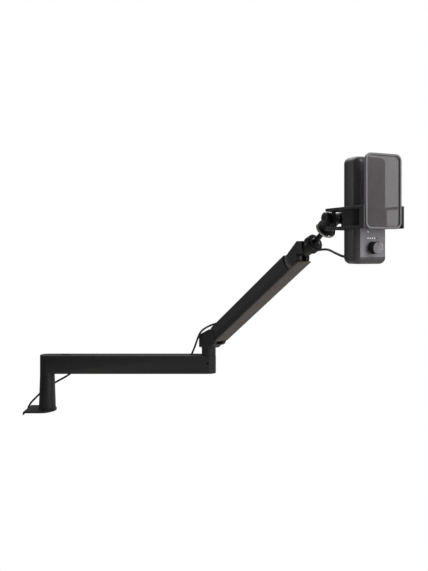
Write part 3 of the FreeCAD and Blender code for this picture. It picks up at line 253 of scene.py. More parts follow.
def traced(name, outline_mm):
    """One vertex drawn out along an outline of (radius, height), ready to be turned round Z."""
    first = outline_mm[0]
    bpy.ops.object.select_all(action="DESELECT")
    bpy.ops.mesh.primitive_plane_add(size=0.001, location=(0, 0, 0))
    piece = bpy.context.object
    piece.name = name
    bpy.ops.object.mode_set(mode="EDIT")
    bpy.ops.mesh.select_mode(type="VERT")
    bpy.ops.mesh.select_all(action="SELECT")
    bpy.ops.mesh.merge(type="CENTER")
    bpy.ops.transform.translate(value=(first[0] / 1000, 0, first[1] / 1000))
    for (r0, z0), (r1, z1) in zip(outline_mm, outline_mm[1:]):
        bpy.ops.mesh.extrude_region_move(
            TRANSFORM_OT_translate={"value": ((r1 - r0) / 1000, 0, (z1 - z0) / 1000)})
    bpy.ops.object.mode_set(mode="OBJECT")
    return piece


def turned(name, outline_mm, sides):
    """A piece turned round Z from its outline, closed where the outline meets the axis."""
    piece = traced(name, outline_mm)
    bpy.ops.object.mode_set(mode="EDIT")
    bpy.ops.mesh.select_all(action="SELECT")
    bpy.ops.mesh.spin(steps=sides, angle=math.tau, center=(0, 0, 0), axis=(0, 0, 1))
    bpy.ops.mesh.select_all(action="SELECT")
    bpy.ops.mesh.remove_doubles(threshold=SAME_POINT)
    bpy.ops.mesh.normals_make_consistent(inside=False)
    bpy.ops.object.mode_set(mode="OBJECT")
    return piece


def fitted(piece, place, node, skin_finish, smooth=30):
    """Puts a finished piece in its place, in its mesh, and lets it stand for a solid."""
    piece.data.transform(place)
    alone(piece)
    bpy.ops.object.shade_smooth_by_angle(angle=math.radians(smooth))
    piece.data.materials.clear()
    piece.data.materials.append(skin_finish)
    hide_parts(node)
    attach(piece, frame["nodes"][node]["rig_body"])


# Zinc plate on steel: cool grey, half bright, with the cloudy spangle of the plating bath.
zinc_plate = coating("zinc_plated_steel", "#8b8d90", "#a3a5a8", 3.0, (0.26, 0.42), 0.01, "#c4c6c8",
                     metallic=1.0)
thread = traced("clamp_screw_thread", (
    (ROOT, 0), (ROOT, 0.9), (CREST, 1.4), (CREST, 2.6), (ROOT, 3.1), (ROOT, THREAD_PITCH)))
alone(thread)
helix = thread.modifiers.new("rolled_thread", "SCREW")
helix.axis = "Z"
helix.screw_offset = THREAD_PITCH / 1000
helix.iterations = int((THREAD_HIGH - THREAD_LOW) / THREAD_PITCH)
helix.steps = helix.render_steps = 32
helix.use_merge_vertices = True
bpy.ops.object.modifier_apply(modifier=helix.name)
core = turned("clamp_screw_core", (
    (0, THREAD_LOW - SHANK_LENGTH), (SHANK_RADIUS, THREAD_LOW - SHANK_LENGTH),
    (SHANK_RADIUS, THREAD_LOW + 2.0), (CORE_RADIUS, THREAD_LOW + 2.4), (CORE_RADIUS, CORE_HIGH),
    (TIP_RADIUS, TIP_HIGH), (0, TIP_HIGH)), 32)
thread.data.transform(Matrix.Translation((0, 0, THREAD_LOW / 1000)))
alone(thread)
core.select_set(True)
bpy.ops.object.join()
bpy.ops.object.mode_set(mode="EDIT")
bpy.ops.mesh.select_all(action="SELECT")
bpy.ops.mesh.normals_make_consistent(inside=False)
bpy.ops.object.mode_set(mode="OBJECT")
fitted(thread, Matrix.Translation((SCREW_X / 1000, 0, 0)), "clamp_screw", zinc_plate)
softened("clamp_nut", 0.4, zinc_plate)
softened("pressure_plate", 0.5, zinc_plate)
softened("pressure_pad", 0.3, sheet_rubber)

# Clamp knob: a hand wheel of black ABS moulded round the screw's end, with eight finger hollows.
# Its mould was spark-textured, so the plastic is evenly matt.
moulded_abs = coating("spark_textured_black_abs", "#101010", "#1a1a1a", 0.8, (0.5, 0.62), 0.03, "#252525",
                      1.53)
softened("clamp_knob", 0.9, moulded_abs, steps=3)

# Riser: a tapered steel column, turned, coated and screwed to the plate from below. A nylon bush in its bore
# carries the swivel pin, and its flange shows as the thin dark line under the arm.
softened("riser", 1.0, powder_coat, steps=3)
moulded_nylon = coating("moulded_black_nylon", "#040404", "#0a0a0a", 1.2, (0.6, 0.7), 0.01, "#131313", 1.53)


def finished(skin_finish, *nodes):
    """Gives solids that hardly show their finish, and leaves their shape alone."""
    for node in nodes:
        frame["nodes"][node].material_slots[0].material = skin_finish


finished(moulded_nylon, "riser_bush")
finished(zinc_plate, "riser_screws", "swivel_pin")

# Lower arm: a drawn steel box tube with its ends closed and rounded, coated like the clamp. Two slots in its
# top and one below let the lead in and out, each lined by a snapped-in nylon grommet.
softened("lower_arm", 0.6, powder_coat)
softened("cable_grommets", 0.3, moulded_nylon)

# Screws with a hexagon socket: the grub screw that sets the elbow's drag, and the screw that holds its
# spindle from below. Both are blackened steel, which stays dark and a little shiny.
black_oxide = coating("oil_blackened_steel", "#1a1a1b", "#262627", 1.0, (0.3, 0.42), 0.01, "#48484a",
                      metallic=0.8)


def socketed(node, mouth_mm, inwards, across_mm, depth_mm, skin_finish):
    """A screw with a hexagon socket sunk into its end."""
    screw = softened(node, 0.3, skin_finish)
    turn = Vector(inwards).to_track_quat("Z", "Y").to_matrix().to_4x4()
    bpy.ops.object.select_all(action="DESELECT")
    bpy.ops.mesh.primitive_cylinder_add(vertices=6, radius=across_mm / 2000 / math.cos(math.pi / 6),
                                        depth=depth_mm / 500)
    key = bpy.context.object
    key.data.transform(Matrix.Translation(Vector(mouth_mm) / 1000) @ turn)
    alone(screw)
    sink = screw.modifiers.new("hexagon_socket", "BOOLEAN")
    sink.operation = "DIFFERENCE"
    sink.object = key
    bpy.ops.object.modifier_apply(modifier=sink.name)
    bpy.ops.object.shade_smooth_by_angle(angle=math.radians(30))
    bpy.data.objects.remove(key)


socketed("tension_screw", (337.5, -14.0, 102.0), (0, 1, 0), 2.5, 2.0, black_oxide)
socketed("spindle_screw", (340.0, 0.0, 83.3), (0, 0, 1), 5.0, 2.6, black_oxide)

# Elbow: a die-cast fork on a round post, shot-blasted and painted, so its skin is a little coarser than the
# tube's. It turns on a plated spindle in a nylon bush, and the pins in its fork carry the arm and the link.
cast_paint = coating("painted_zinc_casting", "#100f10", "#211f21", 1.3, (0.46, 0.62), 0.05, "#393838")
softened("elbow_knuckle", 0.8, cast_paint, steps=3)
finished(moulded_nylon, "elbow_bush")
finished(zinc_plate, "elbow_spindle", "elbow_pins")

# Upper arm: a steel channel folded from sheet and coated, with a cast block screwed into each end. The upper
# block is drawn light grey, a painted highlight: its flank shows as the lit crescent beside the head. The
# levelling link and the balance spring run inside, beside the lead.
softened("upper_arm", 0.5, powder_coat)
softened("lower_end_block", 0.5, cast_paint)
# A light grey that stands in for the light caught on the block's flank: a painted highlight.
zinc_grey_painted_highlight = coating("lacquered_blasted_zinc", "#4f4d4c", "#5f5d5c", 1.1, (0.4, 0.5), 0.03, "#787674")
softened("upper_end_block", 0.5, zinc_grey_painted_highlight)
softened("level_link", 0.3, zinc_plate)
softened("spring_anchor", 0.4, zinc_plate)
finished(black_oxide, "arm_screws")

# Cable cover: a snap-on lid of warm grey polypropylene that closes the channel from below. Its mould was
# coarsely etched, so it shows an even pebble grain of about 0.5 mm, drawn here at 1.6 mm.
pebbled_lid = coating("pebbled_grey_polypropylene", "#47423f", "#5c5652", 1.6, (0.55, 0.68), 0.12,
                      "#6b6561", 1.49)
softened("cable_cover", 0.5, pebbled_lid)

# Balance spring: plated music wire of 2 mm, close wound, with an eye round the elbow's pin and a straight
# tail into the anchor. It lies inside the channel.
ARM_FOOT_MM = Vector((355.176, -22.331, 158.0))
ARM_ALONG = Vector((0.469254, -0.690486, 0.550481))
ARM_SIDE = Vector((0.827081, 0.562083, 0.0))
ARM_UP = Vector((-0.309416, 0.455292, 0.834848))
SPRING_START, SPRING_COIL, SPRING_TAIL, TAIL_LAP = 66.0, 150.0, 10.0, 3.0
SPRING_SIDE, SPRING_RISE, SPRING_RADIUS, WIRE_RADIUS = 2.6, 6.0, 4.0, 1.0
COIL_PITCH = WIRE_RADIUS * 2.1
EYE_PLACE, EYE_RADIUS = Vector((3.55, SPRING_SIDE, 10.83)), 2.9
HOOK_GIVE, HOOK_STEPS = 18.0, 24
arm_place = Matrix((ARM_ALONG, ARM_SIDE, ARM_UP)).transposed().to_4x4()
arm_place.translation = ARM_FOOT_MM / 1000
bpy.ops.object.select_all(action="DESELECT")
bpy.ops.mesh.primitive_circle_add(vertices=8, radius=WIRE_RADIUS / 1000, fill_type="NOTHING",
                                  location=(SPRING_RADIUS / 1000, 0, 0), rotation=(math.radians(90), 0, 0))
coil = bpy.context.object
coil.name = "balance_spring_coil"
bpy.ops.object.transform_apply(location=True, rotation=True, scale=True)
winding = coil.modifiers.new("close_winding", "SCREW")
winding.axis = "Z"
winding.screw_offset = COIL_PITCH / 1000
winding.iterations = int(SPRING_COIL / COIL_PITCH) - 1
winding.steps = winding.render_steps = 20
bpy.ops.object.modifier_apply(modifier=winding.name)


def standing(foot_mm, along):
    """The placement of a piece turned round Z that stands on a point and rises along a direction."""
    turn = Vector(along).to_track_quat("Z", "Y").to_matrix().to_4x4()
    return Matrix.Translation(Vector(foot_mm) / 1000) @ turn


coil.data.transform(standing((SPRING_START, SPRING_SIDE, SPRING_RISE), (1, 0, 0)))
bpy.ops.object.select_all(action="DESELECT")
bpy.ops.mesh.primitive_torus_add(major_segments=24, minor_segments=10, major_radius=EYE_RADIUS / 1000,
                                 minor_radius=WIRE_RADIUS / 1000)
eye = bpy.context.object
eye.data.transform(Matrix.Translation(EYE_PLACE / 1000) @ Matrix.Rotation(math.radians(90), 4, "X"))
hook_run = Vector((SPRING_START + SPRING_RADIUS, SPRING_SIDE, SPRING_RISE)) - EYE_PLACE
hook_length = hook_run.length - EYE_RADIUS
hook_line = [(WIRE_RADIUS, hook_length * i / HOOK_STEPS) for i in range(HOOK_STEPS + 1)]
hook = turned("balance_spring_hook", [(0, 0)] + hook_line + [(0, hook_length)], 10)
hook.data.transform(standing(EYE_PLACE + hook_run.normalized() * EYE_RADIUS, hook_run))
tail_length = SPRING_TAIL + TAIL_LAP
tail = turned("balance_spring_tail",
              ((0, 0), (WIRE_RADIUS, 0), (WIRE_RADIUS, tail_length), (0, tail_length)), 10)
tail.data.transform(standing((SPRING_START + SPRING_COIL - TAIL_LAP, SPRING_SIDE, SPRING_RISE), (1, 0, 0)))
alone(coil)
eye.select_set(True)
hook.select_set(True)
tail.select_set(True)
bpy.ops.object.join()
bpy.ops.object.mode_set(mode="EDIT")
bpy.ops.mesh.select_all(action="SELECT")
bpy.ops.mesh.remove_doubles(threshold=SAME_POINT)
bpy.ops.mesh.normals_make_consistent(inside=False)
bpy.ops.object.mode_set(mode="OBJECT")
coil.data.transform(arm_place)
bpy.ops.object.shade_smooth_by_angle(angle=math.radians(60))
coil.data.materials.append(zinc_plate)
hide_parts("balance_spring")
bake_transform(coil)

# Head: a cast fork like the elbow's, under a level block whose barrel is bored out for the ball. The lead
# leaves it on the right through a ribbed nylon boot.
softened("head_knuckle", 0.7, cast_paint, steps=3)
gland = softened("lead_gland", 0.4, moulded_nylon)
finished(zinc_plate, "head_pins")

# Locking collar: a ring of black acetal, turned and polished, with straight grooves for the fingers. Screwed
# home it closes the barrel's lip on the ball.
BALL_MM = Vector((519.844, -264.632, 349.996))
BARREL_AXIS = Vector((0.502589, -0.739538, 0.447759))
COLLAR_BACK, COLLAR_LENGTH, COLLAR_OUT, COLLAR_BORE = -9.4, 13.0, 15.1, 12.6
COLLAR_GROOVES, COLLAR_EASE = 30, 0.8
RIM_SHARE, UPRIGHT_WITHIN = 0.985, 0.1


def grooved(piece, sides, rim_mm, margin_mm, depth_mm):
    """Presses a groove into every other facet of a round piece's rim."""
    alone(piece)
    for facet in piece.data.polygons:
        outward = Vector((facet.center.x, facet.center.y))
        turn = round(math.atan2(outward.y, outward.x) / math.tau * sides - 0.5)
        facet.select = (outward.length > rim_mm / 1000 * RIM_SHARE and abs(facet.normal.z) < UPRIGHT_WITHIN
                        and facet.normal.to_2d().dot(outward) > 0 and turn % 2 == 0)
    for rib in piece.data.edges:
        rib.select = False
    for corner in piece.data.vertices:
        corner.select = False
    bpy.ops.object.mode_set(mode="EDIT")
    bpy.ops.mesh.select_mode(type="FACE")
    bpy.ops.mesh.inset(thickness=margin_mm / 1000, use_individual=True)
    bpy.ops.transform.shrink_fatten(value=-depth_mm / 1000)
    bpy.ops.object.mode_set(mode="OBJECT")
    ease = piece.modifiers.new("eased_edges", "BEVEL")
    ease.width = margin_mm / 3000
    ease.segments = 2
    ease.limit_method = "ANGLE"
    ease.angle_limit = math.radians(25)
    bpy.ops.object.modifier_apply(modifier=ease.name)


# Acetal polished on the lathe: deep black and glossy, a little duller where it was handled.
polished_acetal = coating("polished_black_acetal", "#050505", "#0b0b0b", 2.5, (0.12, 0.26), 0.01,
                          "#1c1c1d", 1.48)
collar = turned("collar_grip", (
    (COLLAR_BORE, 0), (COLLAR_OUT - COLLAR_EASE, 0), (COLLAR_OUT, COLLAR_EASE),
    (COLLAR_OUT, COLLAR_LENGTH - COLLAR_EASE), (COLLAR_OUT - COLLAR_EASE, COLLAR_LENGTH),
    (COLLAR_BORE, COLLAR_LENGTH), (COLLAR_BORE, 0)), COLLAR_GROOVES * 2)
grooved(collar, COLLAR_GROOVES * 2, COLLAR_OUT, 0.25, 0.55)
fitted(collar, standing(BALL_MM + BARREL_AXIS * COLLAR_BACK, BARREL_AXIS), "lock_collar", polished_acetal)

# Ball and stem: one turned steel part, blackened in hot oil. The ball sits in the barrel, and the stem ends
# in the thread that takes the mount.
softened("ball_stud", 0.3, black_oxide)

# Flange nut: a round black nut that jams the mount on its thread. Its knurled rim is drawn in bright, a
# little warm nickel as a painted highlight, with a fine turned grain of about 0.3 mm, drawn at 1 mm.
painted_glint_nickel = coating("turned_nickel_painted_highlight", "#a9a7a2", "#bdbbb6", 1.0, (0.16, 0.26), 0.01,
                        "#d8d6d2", metallic=1.0)
STEM_AXIS = Vector((0.339563, -0.762671, 0.550481))
FLANGE_AT, FLANGE_THICK, FLANGE_OUT, FLANGE_BORE = 39.0, 6.0, 17.3, 7.95
FLANGE_GROOVES, FLANGE_HIGHLIGHT_BAND = 36, 1.35
nut = turned("flange_nut_grip", (
    (FLANGE_BORE, 0), (FLANGE_OUT - 3.2, 0), (FLANGE_OUT - 2.6, 0.5), (FLANGE_OUT - 1.2, 0.5),
    (FLANGE_OUT, 1.5), (FLANGE_OUT, FLANGE_THICK - 1.5), (FLANGE_OUT - 1.2, FLANGE_THICK - 0.5),
    (FLANGE_OUT - 2.6, FLANGE_THICK - 0.5), (FLANGE_OUT - 3.2, FLANGE_THICK), (FLANGE_BORE, FLANGE_THICK),
    (FLANGE_BORE, 0)), FLANGE_GROOVES * 2)
grooved(nut, FLANGE_GROOVES * 2, FLANGE_OUT, 0.15, 0.3)
nut_foot = BALL_MM + STEM_AXIS * FLANGE_AT
fitted(nut, standing(nut_foot, STEM_AXIS), "flange_nut", cast_paint)
nut.data.materials.append(painted_glint_nickel)
# The rim's outer band takes the bright nickel: a painted highlight.
for facet in nut.data.polygons:
    off = facet.center - nut_foot / 1000
    away = (off - STEM_AXIS * off.dot(STEM_AXIS)).length
    facet.material_index = 1 if away > (FLANGE_OUT - FLANGE_HIGHLIGHT_BAND) / 1000 else 0

# Mount boss: a painted zinc casting, screwed on the stem's thread down to the nut. Its flat tongue stands
# between the shock mount's ears.
softened("mount_boss", 0.6, cast_paint, steps=3)

# Shock mount: two rails of steel bar, bent to a hoop, welded to a pair of ears and two front tips, and coated
# in powder. A blackened bolt through the ears tilts it on the boss, and a ribbed knob on its left locks it.
PIVOT_MM = Vector((543.953, -318.781, 389.080))
FACING = Vector((0.406737, -0.913545, 0.0))
ACROSS = Vector((0.913545, 0.406737, 0.0))
mount_place = Matrix((FACING, ACROSS, Vector((0, 0, 1)))).transposed().to_4x4()
mount_place.translation = PIVOT_MM / 1000
softened("shock_frame", 0.5, powder_coat)
softened("tilt_bolt", 0.4, black_oxide)
KNOB_IN, KNOB_LENGTH, KNOB_OUT, KNOB_BORE = -10.8, 9.0, 9.5, 3.05
KNOB_RIBS = 18
knob = turned("tilt_knob_grip", (
    (KNOB_BORE, 0), (KNOB_OUT - 1.6, 0), (KNOB_OUT - 1.1, 0.6), (KNOB_OUT - 1.1, 1.2), (KNOB_OUT, 1.8),
    (KNOB_OUT, KNOB_LENGTH - 1.0), (KNOB_OUT - 1.0, KNOB_LENGTH), (KNOB_OUT - 3.4, KNOB_LENGTH),
    (KNOB_OUT - 3.9, KNOB_LENGTH - 0.6), (KNOB_BORE, KNOB_LENGTH - 0.6), (KNOB_BORE, 0)), KNOB_RIBS * 2)
grooved(knob, KNOB_RIBS * 2, KNOB_OUT, 0.3, 0.6)
fitted(knob, mount_place @ standing((0, KNOB_IN, 0), (0, -1, 0)), "tilt_knob", moulded_abs)

# Microphone's band: a moulded rubber belt round the case. Four pairs of short braided elastic cord hang it
# between the mount's rails.
moulded_rubber = coating("moulded_black_rubber", "#0d0d0d", "#181717", 1.1, (0.6, 0.74), 0.04, "#232323",
                         1.52)
softened("mic_band", 0.4, moulded_rubber)
# Elastic cord: black polyester braided over rubber, with strands that cross every 0.8 mm, drawn at 1.3 mm.
BRAID_MM, BRAID_RELIEF_MM, BRAID_LEAN = 1.3, 0.15, 35
braid = bpy.data.materials.new("braided_black_elastic")
braid.use_nodes = True
tree = braid.node_tree
skin = tree.nodes["Principled BSDF"]
where = add(tree, "ShaderNodeTexCoord")
ridges = []
for lean in (BRAID_LEAN, -BRAID_LEAN):
    turn = add(tree, "ShaderNodeMapping", {"Vector": where.outputs["Object"],
                                           "Rotation": [math.radians(lean)] * 3})
    ridges.append(add(tree, "ShaderNodeTexWave", {"Vector": turn.outputs["Vector"],
                                                  "Scale": 1000 / BRAID_MM / math.tau,
                                                  "Distortion": 0.4}))
crossing = add(tree, "ShaderNodeMath", {0: ridges[0].outputs["Fac"], 1: ridges[1].outputs["Fac"]},
               operation="MAXIMUM")
strands = add(tree, "ShaderNodeMix",
              {"Factor": crossing.outputs["Value"], 6: linear("#060606"), 7: linear("#232223")},
              data_type="RGBA")
tree.links.new(strands.outputs[2], skin.inputs["Base Color"])
raised = add(tree, "ShaderNodeBump", {"Height": crossing.outputs["Value"],
                                      "Distance": BRAID_RELIEF_MM / 1000, "Strength": 0.8})
tree.links.new(raised.outputs["Normal"], skin.inputs["Normal"])
skin.inputs["Roughness"].default_value = 0.75
skin.inputs["Sheen Weight"].default_value = 0.3
softened("elastic_cords", 0.2, braid)

# Microphone: two moulded shells that meet in an upright seam round a circuit board, sprayed in satin
# charcoal. The rear shell is drawn darker as painted shade and the front shell lighter as painted light.
MIC_FRONT = 95.8
# One charcoal in two tones: darker at the back as painted shade, lighter at the front as painted light.
rear_charcoal_painted_shade = coating("satin_black_spray_on_abs", "#242124", "#2e2b2e", 0.8, (0.36, 0.48), 0.02, "#333233",
                      1.5)
front_charcoal_painted_light = coating("satin_charcoal_spray_on_abs", "#3f3c3f", "#4a474a", 0.8, (0.34, 0.46), 0.02,
                         "#525052", 1.5)
softened("mic_rear_shell", 0.8, rear_charcoal_painted_shade, steps=3)
softened("mic_front_shell", 0.8, front_charcoal_painted_light, steps=3)

# Circuit board and capsule: glass-fibre board under green lacquer, and the brass housing of the capsule.
# Both are inside the shells.
green_lacquer = coating("green_lacquered_board", "#0f3d22", "#15502d", 4.0, (0.3, 0.4), 0.02, "#1d6339", 1.5)
turned_brass = coating("turned_brass", "#b08d45", "#c29f55", 1.0, (0.25, 0.35), 0.01, "#d6b870",
                       metallic=1.0)
finished(green_lacquer, "mic_board")
finished(turned_brass, "mic_capsule")

# Grille: punched steel sheet over the capsule, in the panel's grey. Its square holes of 1.5 mm stand 2.2 mm
# apart, and black foam fills them from behind.
GRILLE_WIDTH, GRILLE_LOW, GRILLE_HIGH, GRILLE_THICK = 44.0, 0.7, 76.7, 1.4
HOLES_ACROSS, HOLES_UP, HOLE_MARGIN, HOLE_DEPTH = 20, 34, 0.35, 0.9
satin_grey = coating("satin_grey_spray_on_zinc", "#69666b", "#747176", 0.8, (0.34, 0.46), 0.02, "#7a787d",
                     1.5)
black_foam = coating("open_cell_black_foam", "#030303", "#0c0c0c", 0.7, (0.9, 0.98), 0.2, "#0f0f0f", 1.4)
bpy.ops.object.select_all(action="DESELECT")
bpy.ops.mesh.primitive_grid_add(x_subdivisions=HOLES_ACROSS, y_subdivisions=HOLES_UP, size=1)
grille = bpy.context.object
grille.name = "punched_grille"
grille.data.transform(Matrix.Diagonal((GRILLE_WIDTH / 1000, (GRILLE_HIGH - GRILLE_LOW) / 1000, 1, 1)))
bpy.ops.object.mode_set(mode="EDIT")
bpy.ops.mesh.select_mode(type="FACE")
bpy.ops.mesh.select_all(action="SELECT")
bpy.ops.mesh.inset(thickness=HOLE_MARGIN / 1000, use_individual=True)
bpy.ops.mesh.extrude_region_move(TRANSFORM_OT_translate={"value": (0, 0, -HOLE_DEPTH / 1000)})
bpy.ops.object.mode_set(mode="OBJECT")
foam_faces = [facet.index for facet in grille.data.polygons if facet.select]
bpy.ops.object.mode_set(mode="EDIT")
bpy.ops.mesh.select_mode(type="EDGE")
bpy.ops.mesh.select_all(action="DESELECT")
bpy.ops.mesh.select_non_manifold()
bpy.ops.mesh.extrude_region_move(TRANSFORM_OT_translate={"value": (0, 0, -GRILLE_THICK / 1000)})
bpy.ops.object.mode_set(mode="OBJECT")
faced = Matrix(((0, 0, 1, MIC_FRONT / 1000), (1, 0, 0, 0), (0, 1, 0, (GRILLE_LOW + GRILLE_HIGH) / 2000),
                (0, 0, 0, 1)))
fitted(grille, mount_place @ faced, "mic_grille", satin_grey)
grille.data.materials.append(black_foam)
for place in foam_faces:
    grille.data.polygons[place].material_index = 1

# Front panel: a sprayed grey plate let into the front shell. Five level lights and three mode windows are
# clear acrylic pegs pressed into it, of which the lit ones glow white.
softened("mic_panel", 0.35, satin_grey)
LIGHT_COUNT, LIGHTS_LIT, LIGHT_PITCH, LIGHT_UP = 5, 4, 4.0, -33.3
MODE_COUNT, MODE_FIRST, MODE_PITCH, MODE_UP = 3, -8.0, 8.4, -24.2
MODE_WIDE, MODE_TALL = 0.7, 1.5
HAZE_MM = 0.5
lit_acrylic = bpy.data.materials.new("lit_clear_acrylic")
lit_acrylic.use_nodes = True
tree = lit_acrylic.node_tree
skin = tree.nodes["Principled BSDF"]
where = add(tree, "ShaderNodeTexCoord")
haze = add(tree, "ShaderNodeTexNoise", {"Vector": where.outputs["Object"], "Scale": 1000 / HAZE_MM,
                                        "Detail": 1})
shine = add(tree, "ShaderNodeMapRange", {"Value": haze.outputs["Fac"], "To Min": 0.9, "To Max": 1.3})
tree.links.new(shine.outputs["Result"], skin.inputs["Emission Strength"])
skin.inputs["Emission Color"].default_value = linear("#fbfdff")
skin.inputs["Base Color"].default_value = linear("#e8eef0")
skin.inputs["Roughness"].default_value = 0.2
skin.inputs["IOR"].default_value = 1.49
dark_acrylic = coating("unlit_smoked_acrylic", "#151416", "#232225", 0.6, (0.15, 0.25), 0.01, "#3a393c", 1.49)
peg = turned("level_light", ((0, -1.6), (0.6, -1.6), (0.6, -0.1), (0.48, 0.1), (0.28, 0.16), (0, 0.18)), 16)
pegs = []
for i in range(LIGHT_COUNT):
    pegs.append(((i - (LIGHT_COUNT - 1) / 2) * LIGHT_PITCH, LIGHT_UP, 1.0, 1.0, i < LIGHTS_LIT))
for i in range(MODE_COUNT):
    pegs.append((i * MODE_PITCH + MODE_FIRST, MODE_UP, MODE_WIDE, MODE_TALL, i == 0))
made_pegs = []
for side, up, wide, tall, is_lit in pegs:
    copy = peg.copy()
    copy.data = peg.data.copy()
    scene.collection.objects.link(copy)
    copy.data.transform(mount_place @ standing((MIC_FRONT, side, up), (1, 0, 0)))
    middle = mount_place @ (Vector((MIC_FRONT, side, up)) / 1000)
    stretch = mount_place.to_3x3() @ Matrix.Diagonal((1, wide, tall)) @ mount_place.to_3x3().transposed()
    copy.data.transform(Matrix.Translation(middle) @ stretch.to_4x4() @ Matrix.Translation(-middle))
    copy.data.materials.append(lit_acrylic)
    copy.data.materials.append(dark_acrylic)
    for facet in copy.data.polygons:
        facet.material_index = 0 if is_lit else 1
    made_pegs.append(copy)
bpy.data.objects.remove(peg)
alone(made_pegs[0])
for copy in made_pegs:
    copy.select_set(True)
bpy.ops.object.join()
lights = bpy.context.object
lights.name = "panel_lights"
bpy.ops.object.shade_smooth_by_angle(angle=math.radians(40))
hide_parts("light_guides")
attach(lights, "cradle")

# Dial: a knurled black acetal knob with a grey sprayed face, and between them a thin chamfer of bright nickel
# that is a painted highlight. It is pressed on the encoder's shaft, which turns and clicks inwards.
DIAL_FOOT, DIAL_HEIGHT, DIAL_OUT, DIAL_UP = 96.8, 12.0, 9.0, -47.3
DIAL_RIBS = 36
FACE_DEPTH, HIGHLIGHT_RING_WIDTH, HIGHLIGHT_RING_DEPTH = 0.45, 1.0, 0.62
dial = turned("dial_grip", (
    (0, 0), (DIAL_OUT - 0.6, 0), (DIAL_OUT, 0.6), (DIAL_OUT, DIAL_HEIGHT - 1.3),
    (DIAL_OUT - 0.5, DIAL_HEIGHT - 0.6), (DIAL_OUT - 1.0, DIAL_HEIGHT - 0.1), (DIAL_OUT - 1.5, DIAL_HEIGHT),
    (DIAL_OUT - 1.9, DIAL_HEIGHT - 0.1), (DIAL_OUT - 2.1, DIAL_HEIGHT - 0.4),
    (0, DIAL_HEIGHT - 0.4)), DIAL_RIBS * 2)
grooved(dial, DIAL_RIBS * 2, DIAL_OUT, 0.12, 0.22)
dial_skins = []
for facet in dial.data.polygons:
    away, height = facet.center.to_2d().length * 1000, facet.center.z * 1000
    if height > DIAL_HEIGHT - FACE_DEPTH and away < DIAL_OUT - HIGHLIGHT_RING_WIDTH:
        dial_skins.append(1)
    else:
        dial_skins.append(2 if height > DIAL_HEIGHT - HIGHLIGHT_RING_DEPTH else 0)
fitted(dial, mount_place @ standing((DIAL_FOOT, 0, DIAL_UP), (1, 0, 0)), "dial", polished_acetal)
dial.data.materials.append(satin_grey)
# The thin chamfer takes the bright nickel: a painted highlight on the dial's rim.
dial.data.materials.append(painted_glint_nickel)
for facet, skin_number in zip(dial.data.polygons, dial_skins):
    facet.material_index = skin_number
finished(zinc_plate, "dial_shaft")

# Pop screen: a grey sprayed rim round a woven steel net that is dipped in dark enamel. The rim is clipped to
# the shock mount's front tips.
softened("pop_frame", 1.1, satin_grey, steps=3)
# Net: plain weave of 0.76 mm wire every 1.1 mm, so about a tenth of the light passes. Each wire goes over and
# under its neighbours, and the net is cut to the rim's rounded opening.
NET_X, NET_HALF, NET_LOW, NET_HIGH, NET_CORNER = 119.5, 29.0, -17.7, 84.5, 7.0
WIRE_PITCH, NET_WIRE, CRIMP = 1.1, 0.38, 0.3
CORNER_CUTS = (22.5, 45, 67.5)
JOINED_WITHIN = 2e-5


def woven(name, across, along):
    """Wires that run along Z side by side in Y, each waving in X against the phase of the next."""
    bpy.ops.object.select_all(action="DESELECT")
    pair = []
    for phase in (1, -1):
        bpy.ops.mesh.primitive_cylinder_add(vertices=5, radius=NET_WIRE / 1000, depth=WIRE_PITCH * 2 / 1000,
                                            end_fill_type="NOTHING")
        wire = bpy.context.object
        bpy.ops.object.mode_set(mode="EDIT")
        bpy.ops.mesh.select_all(action="SELECT")
        bpy.ops.mesh.bisect(plane_co=(0, 0, 0), plane_no=(0, 0, 1))
        bpy.ops.object.mode_set(mode="OBJECT")
        for corner in wire.data.vertices:
            crest = phase if abs(corner.co.z) < WIRE_PITCH / 2000 else -phase
            corner.co.x += crest * CRIMP / 1000
            corner.co.y -= phase * WIRE_PITCH / 2000
        pair.append(wire)
    alone(pair[0])
    pair[1].select_set(True)
    bpy.ops.object.join()
    net = bpy.context.object
    net.name = name
    for axis, count in ((2, math.ceil(along / WIRE_PITCH / 2)), (1, math.ceil(across / WIRE_PITCH / 2))):
        repeat = net.modifiers.new("repeat", "ARRAY")
        repeat.count = count
        repeat.use_relative_offset = False
        repeat.use_constant_offset = True
        repeat.constant_offset_displace = [WIRE_PITCH * 2 / 1000 if i == axis else 0 for i in range(3)]
        repeat.use_merge_vertices = axis == 2
        repeat.merge_threshold = JOINED_WITHIN
        bpy.ops.object.modifier_apply(modifier=repeat.name)
    middle = sum((Vector(c) for c in net.bound_box), Vector()) / 8
    net.data.transform(Matrix.Translation(-middle))
    return net


net_height = NET_HIGH - NET_LOW
warp = woven("pop_net_warp", NET_HALF * 2, net_height)
weft = woven("pop_net_weft", net_height, NET_HALF * 2)
weft.data.transform(Matrix.Rotation(math.radians(90), 4, "X"))
alone(warp)
weft.select_set(True)
bpy.ops.object.join()
net = bpy.context.object
net.name = "pop_net_weave"
bpy.ops.object.mode_set(mode="EDIT")
half_height = net_height / 2
cuts = [((0, s * NET_HALF, 0), (0, s, 0)) for s in (-1, 1)]
cuts += [((0, 0, s * half_height), (0, 0, s)) for s in (-1, 1)]
for side in (-1, 1):
    for end in (-1, 1):
        for lean in CORNER_CUTS:
            out = Vector((0, side * math.cos(math.radians(lean)), end * math.sin(math.radians(lean))))
            centre = Vector((0, side * (NET_HALF - NET_CORNER), end * (half_height - NET_CORNER)))
            cuts.append((centre + out * NET_CORNER, out))
for through, outward in cuts:
    bpy.ops.mesh.select_all(action="SELECT")
    bpy.ops.mesh.bisect(plane_co=Vector(through) / 1000, plane_no=outward, clear_outer=True)
bpy.ops.object.mode_set(mode="OBJECT")
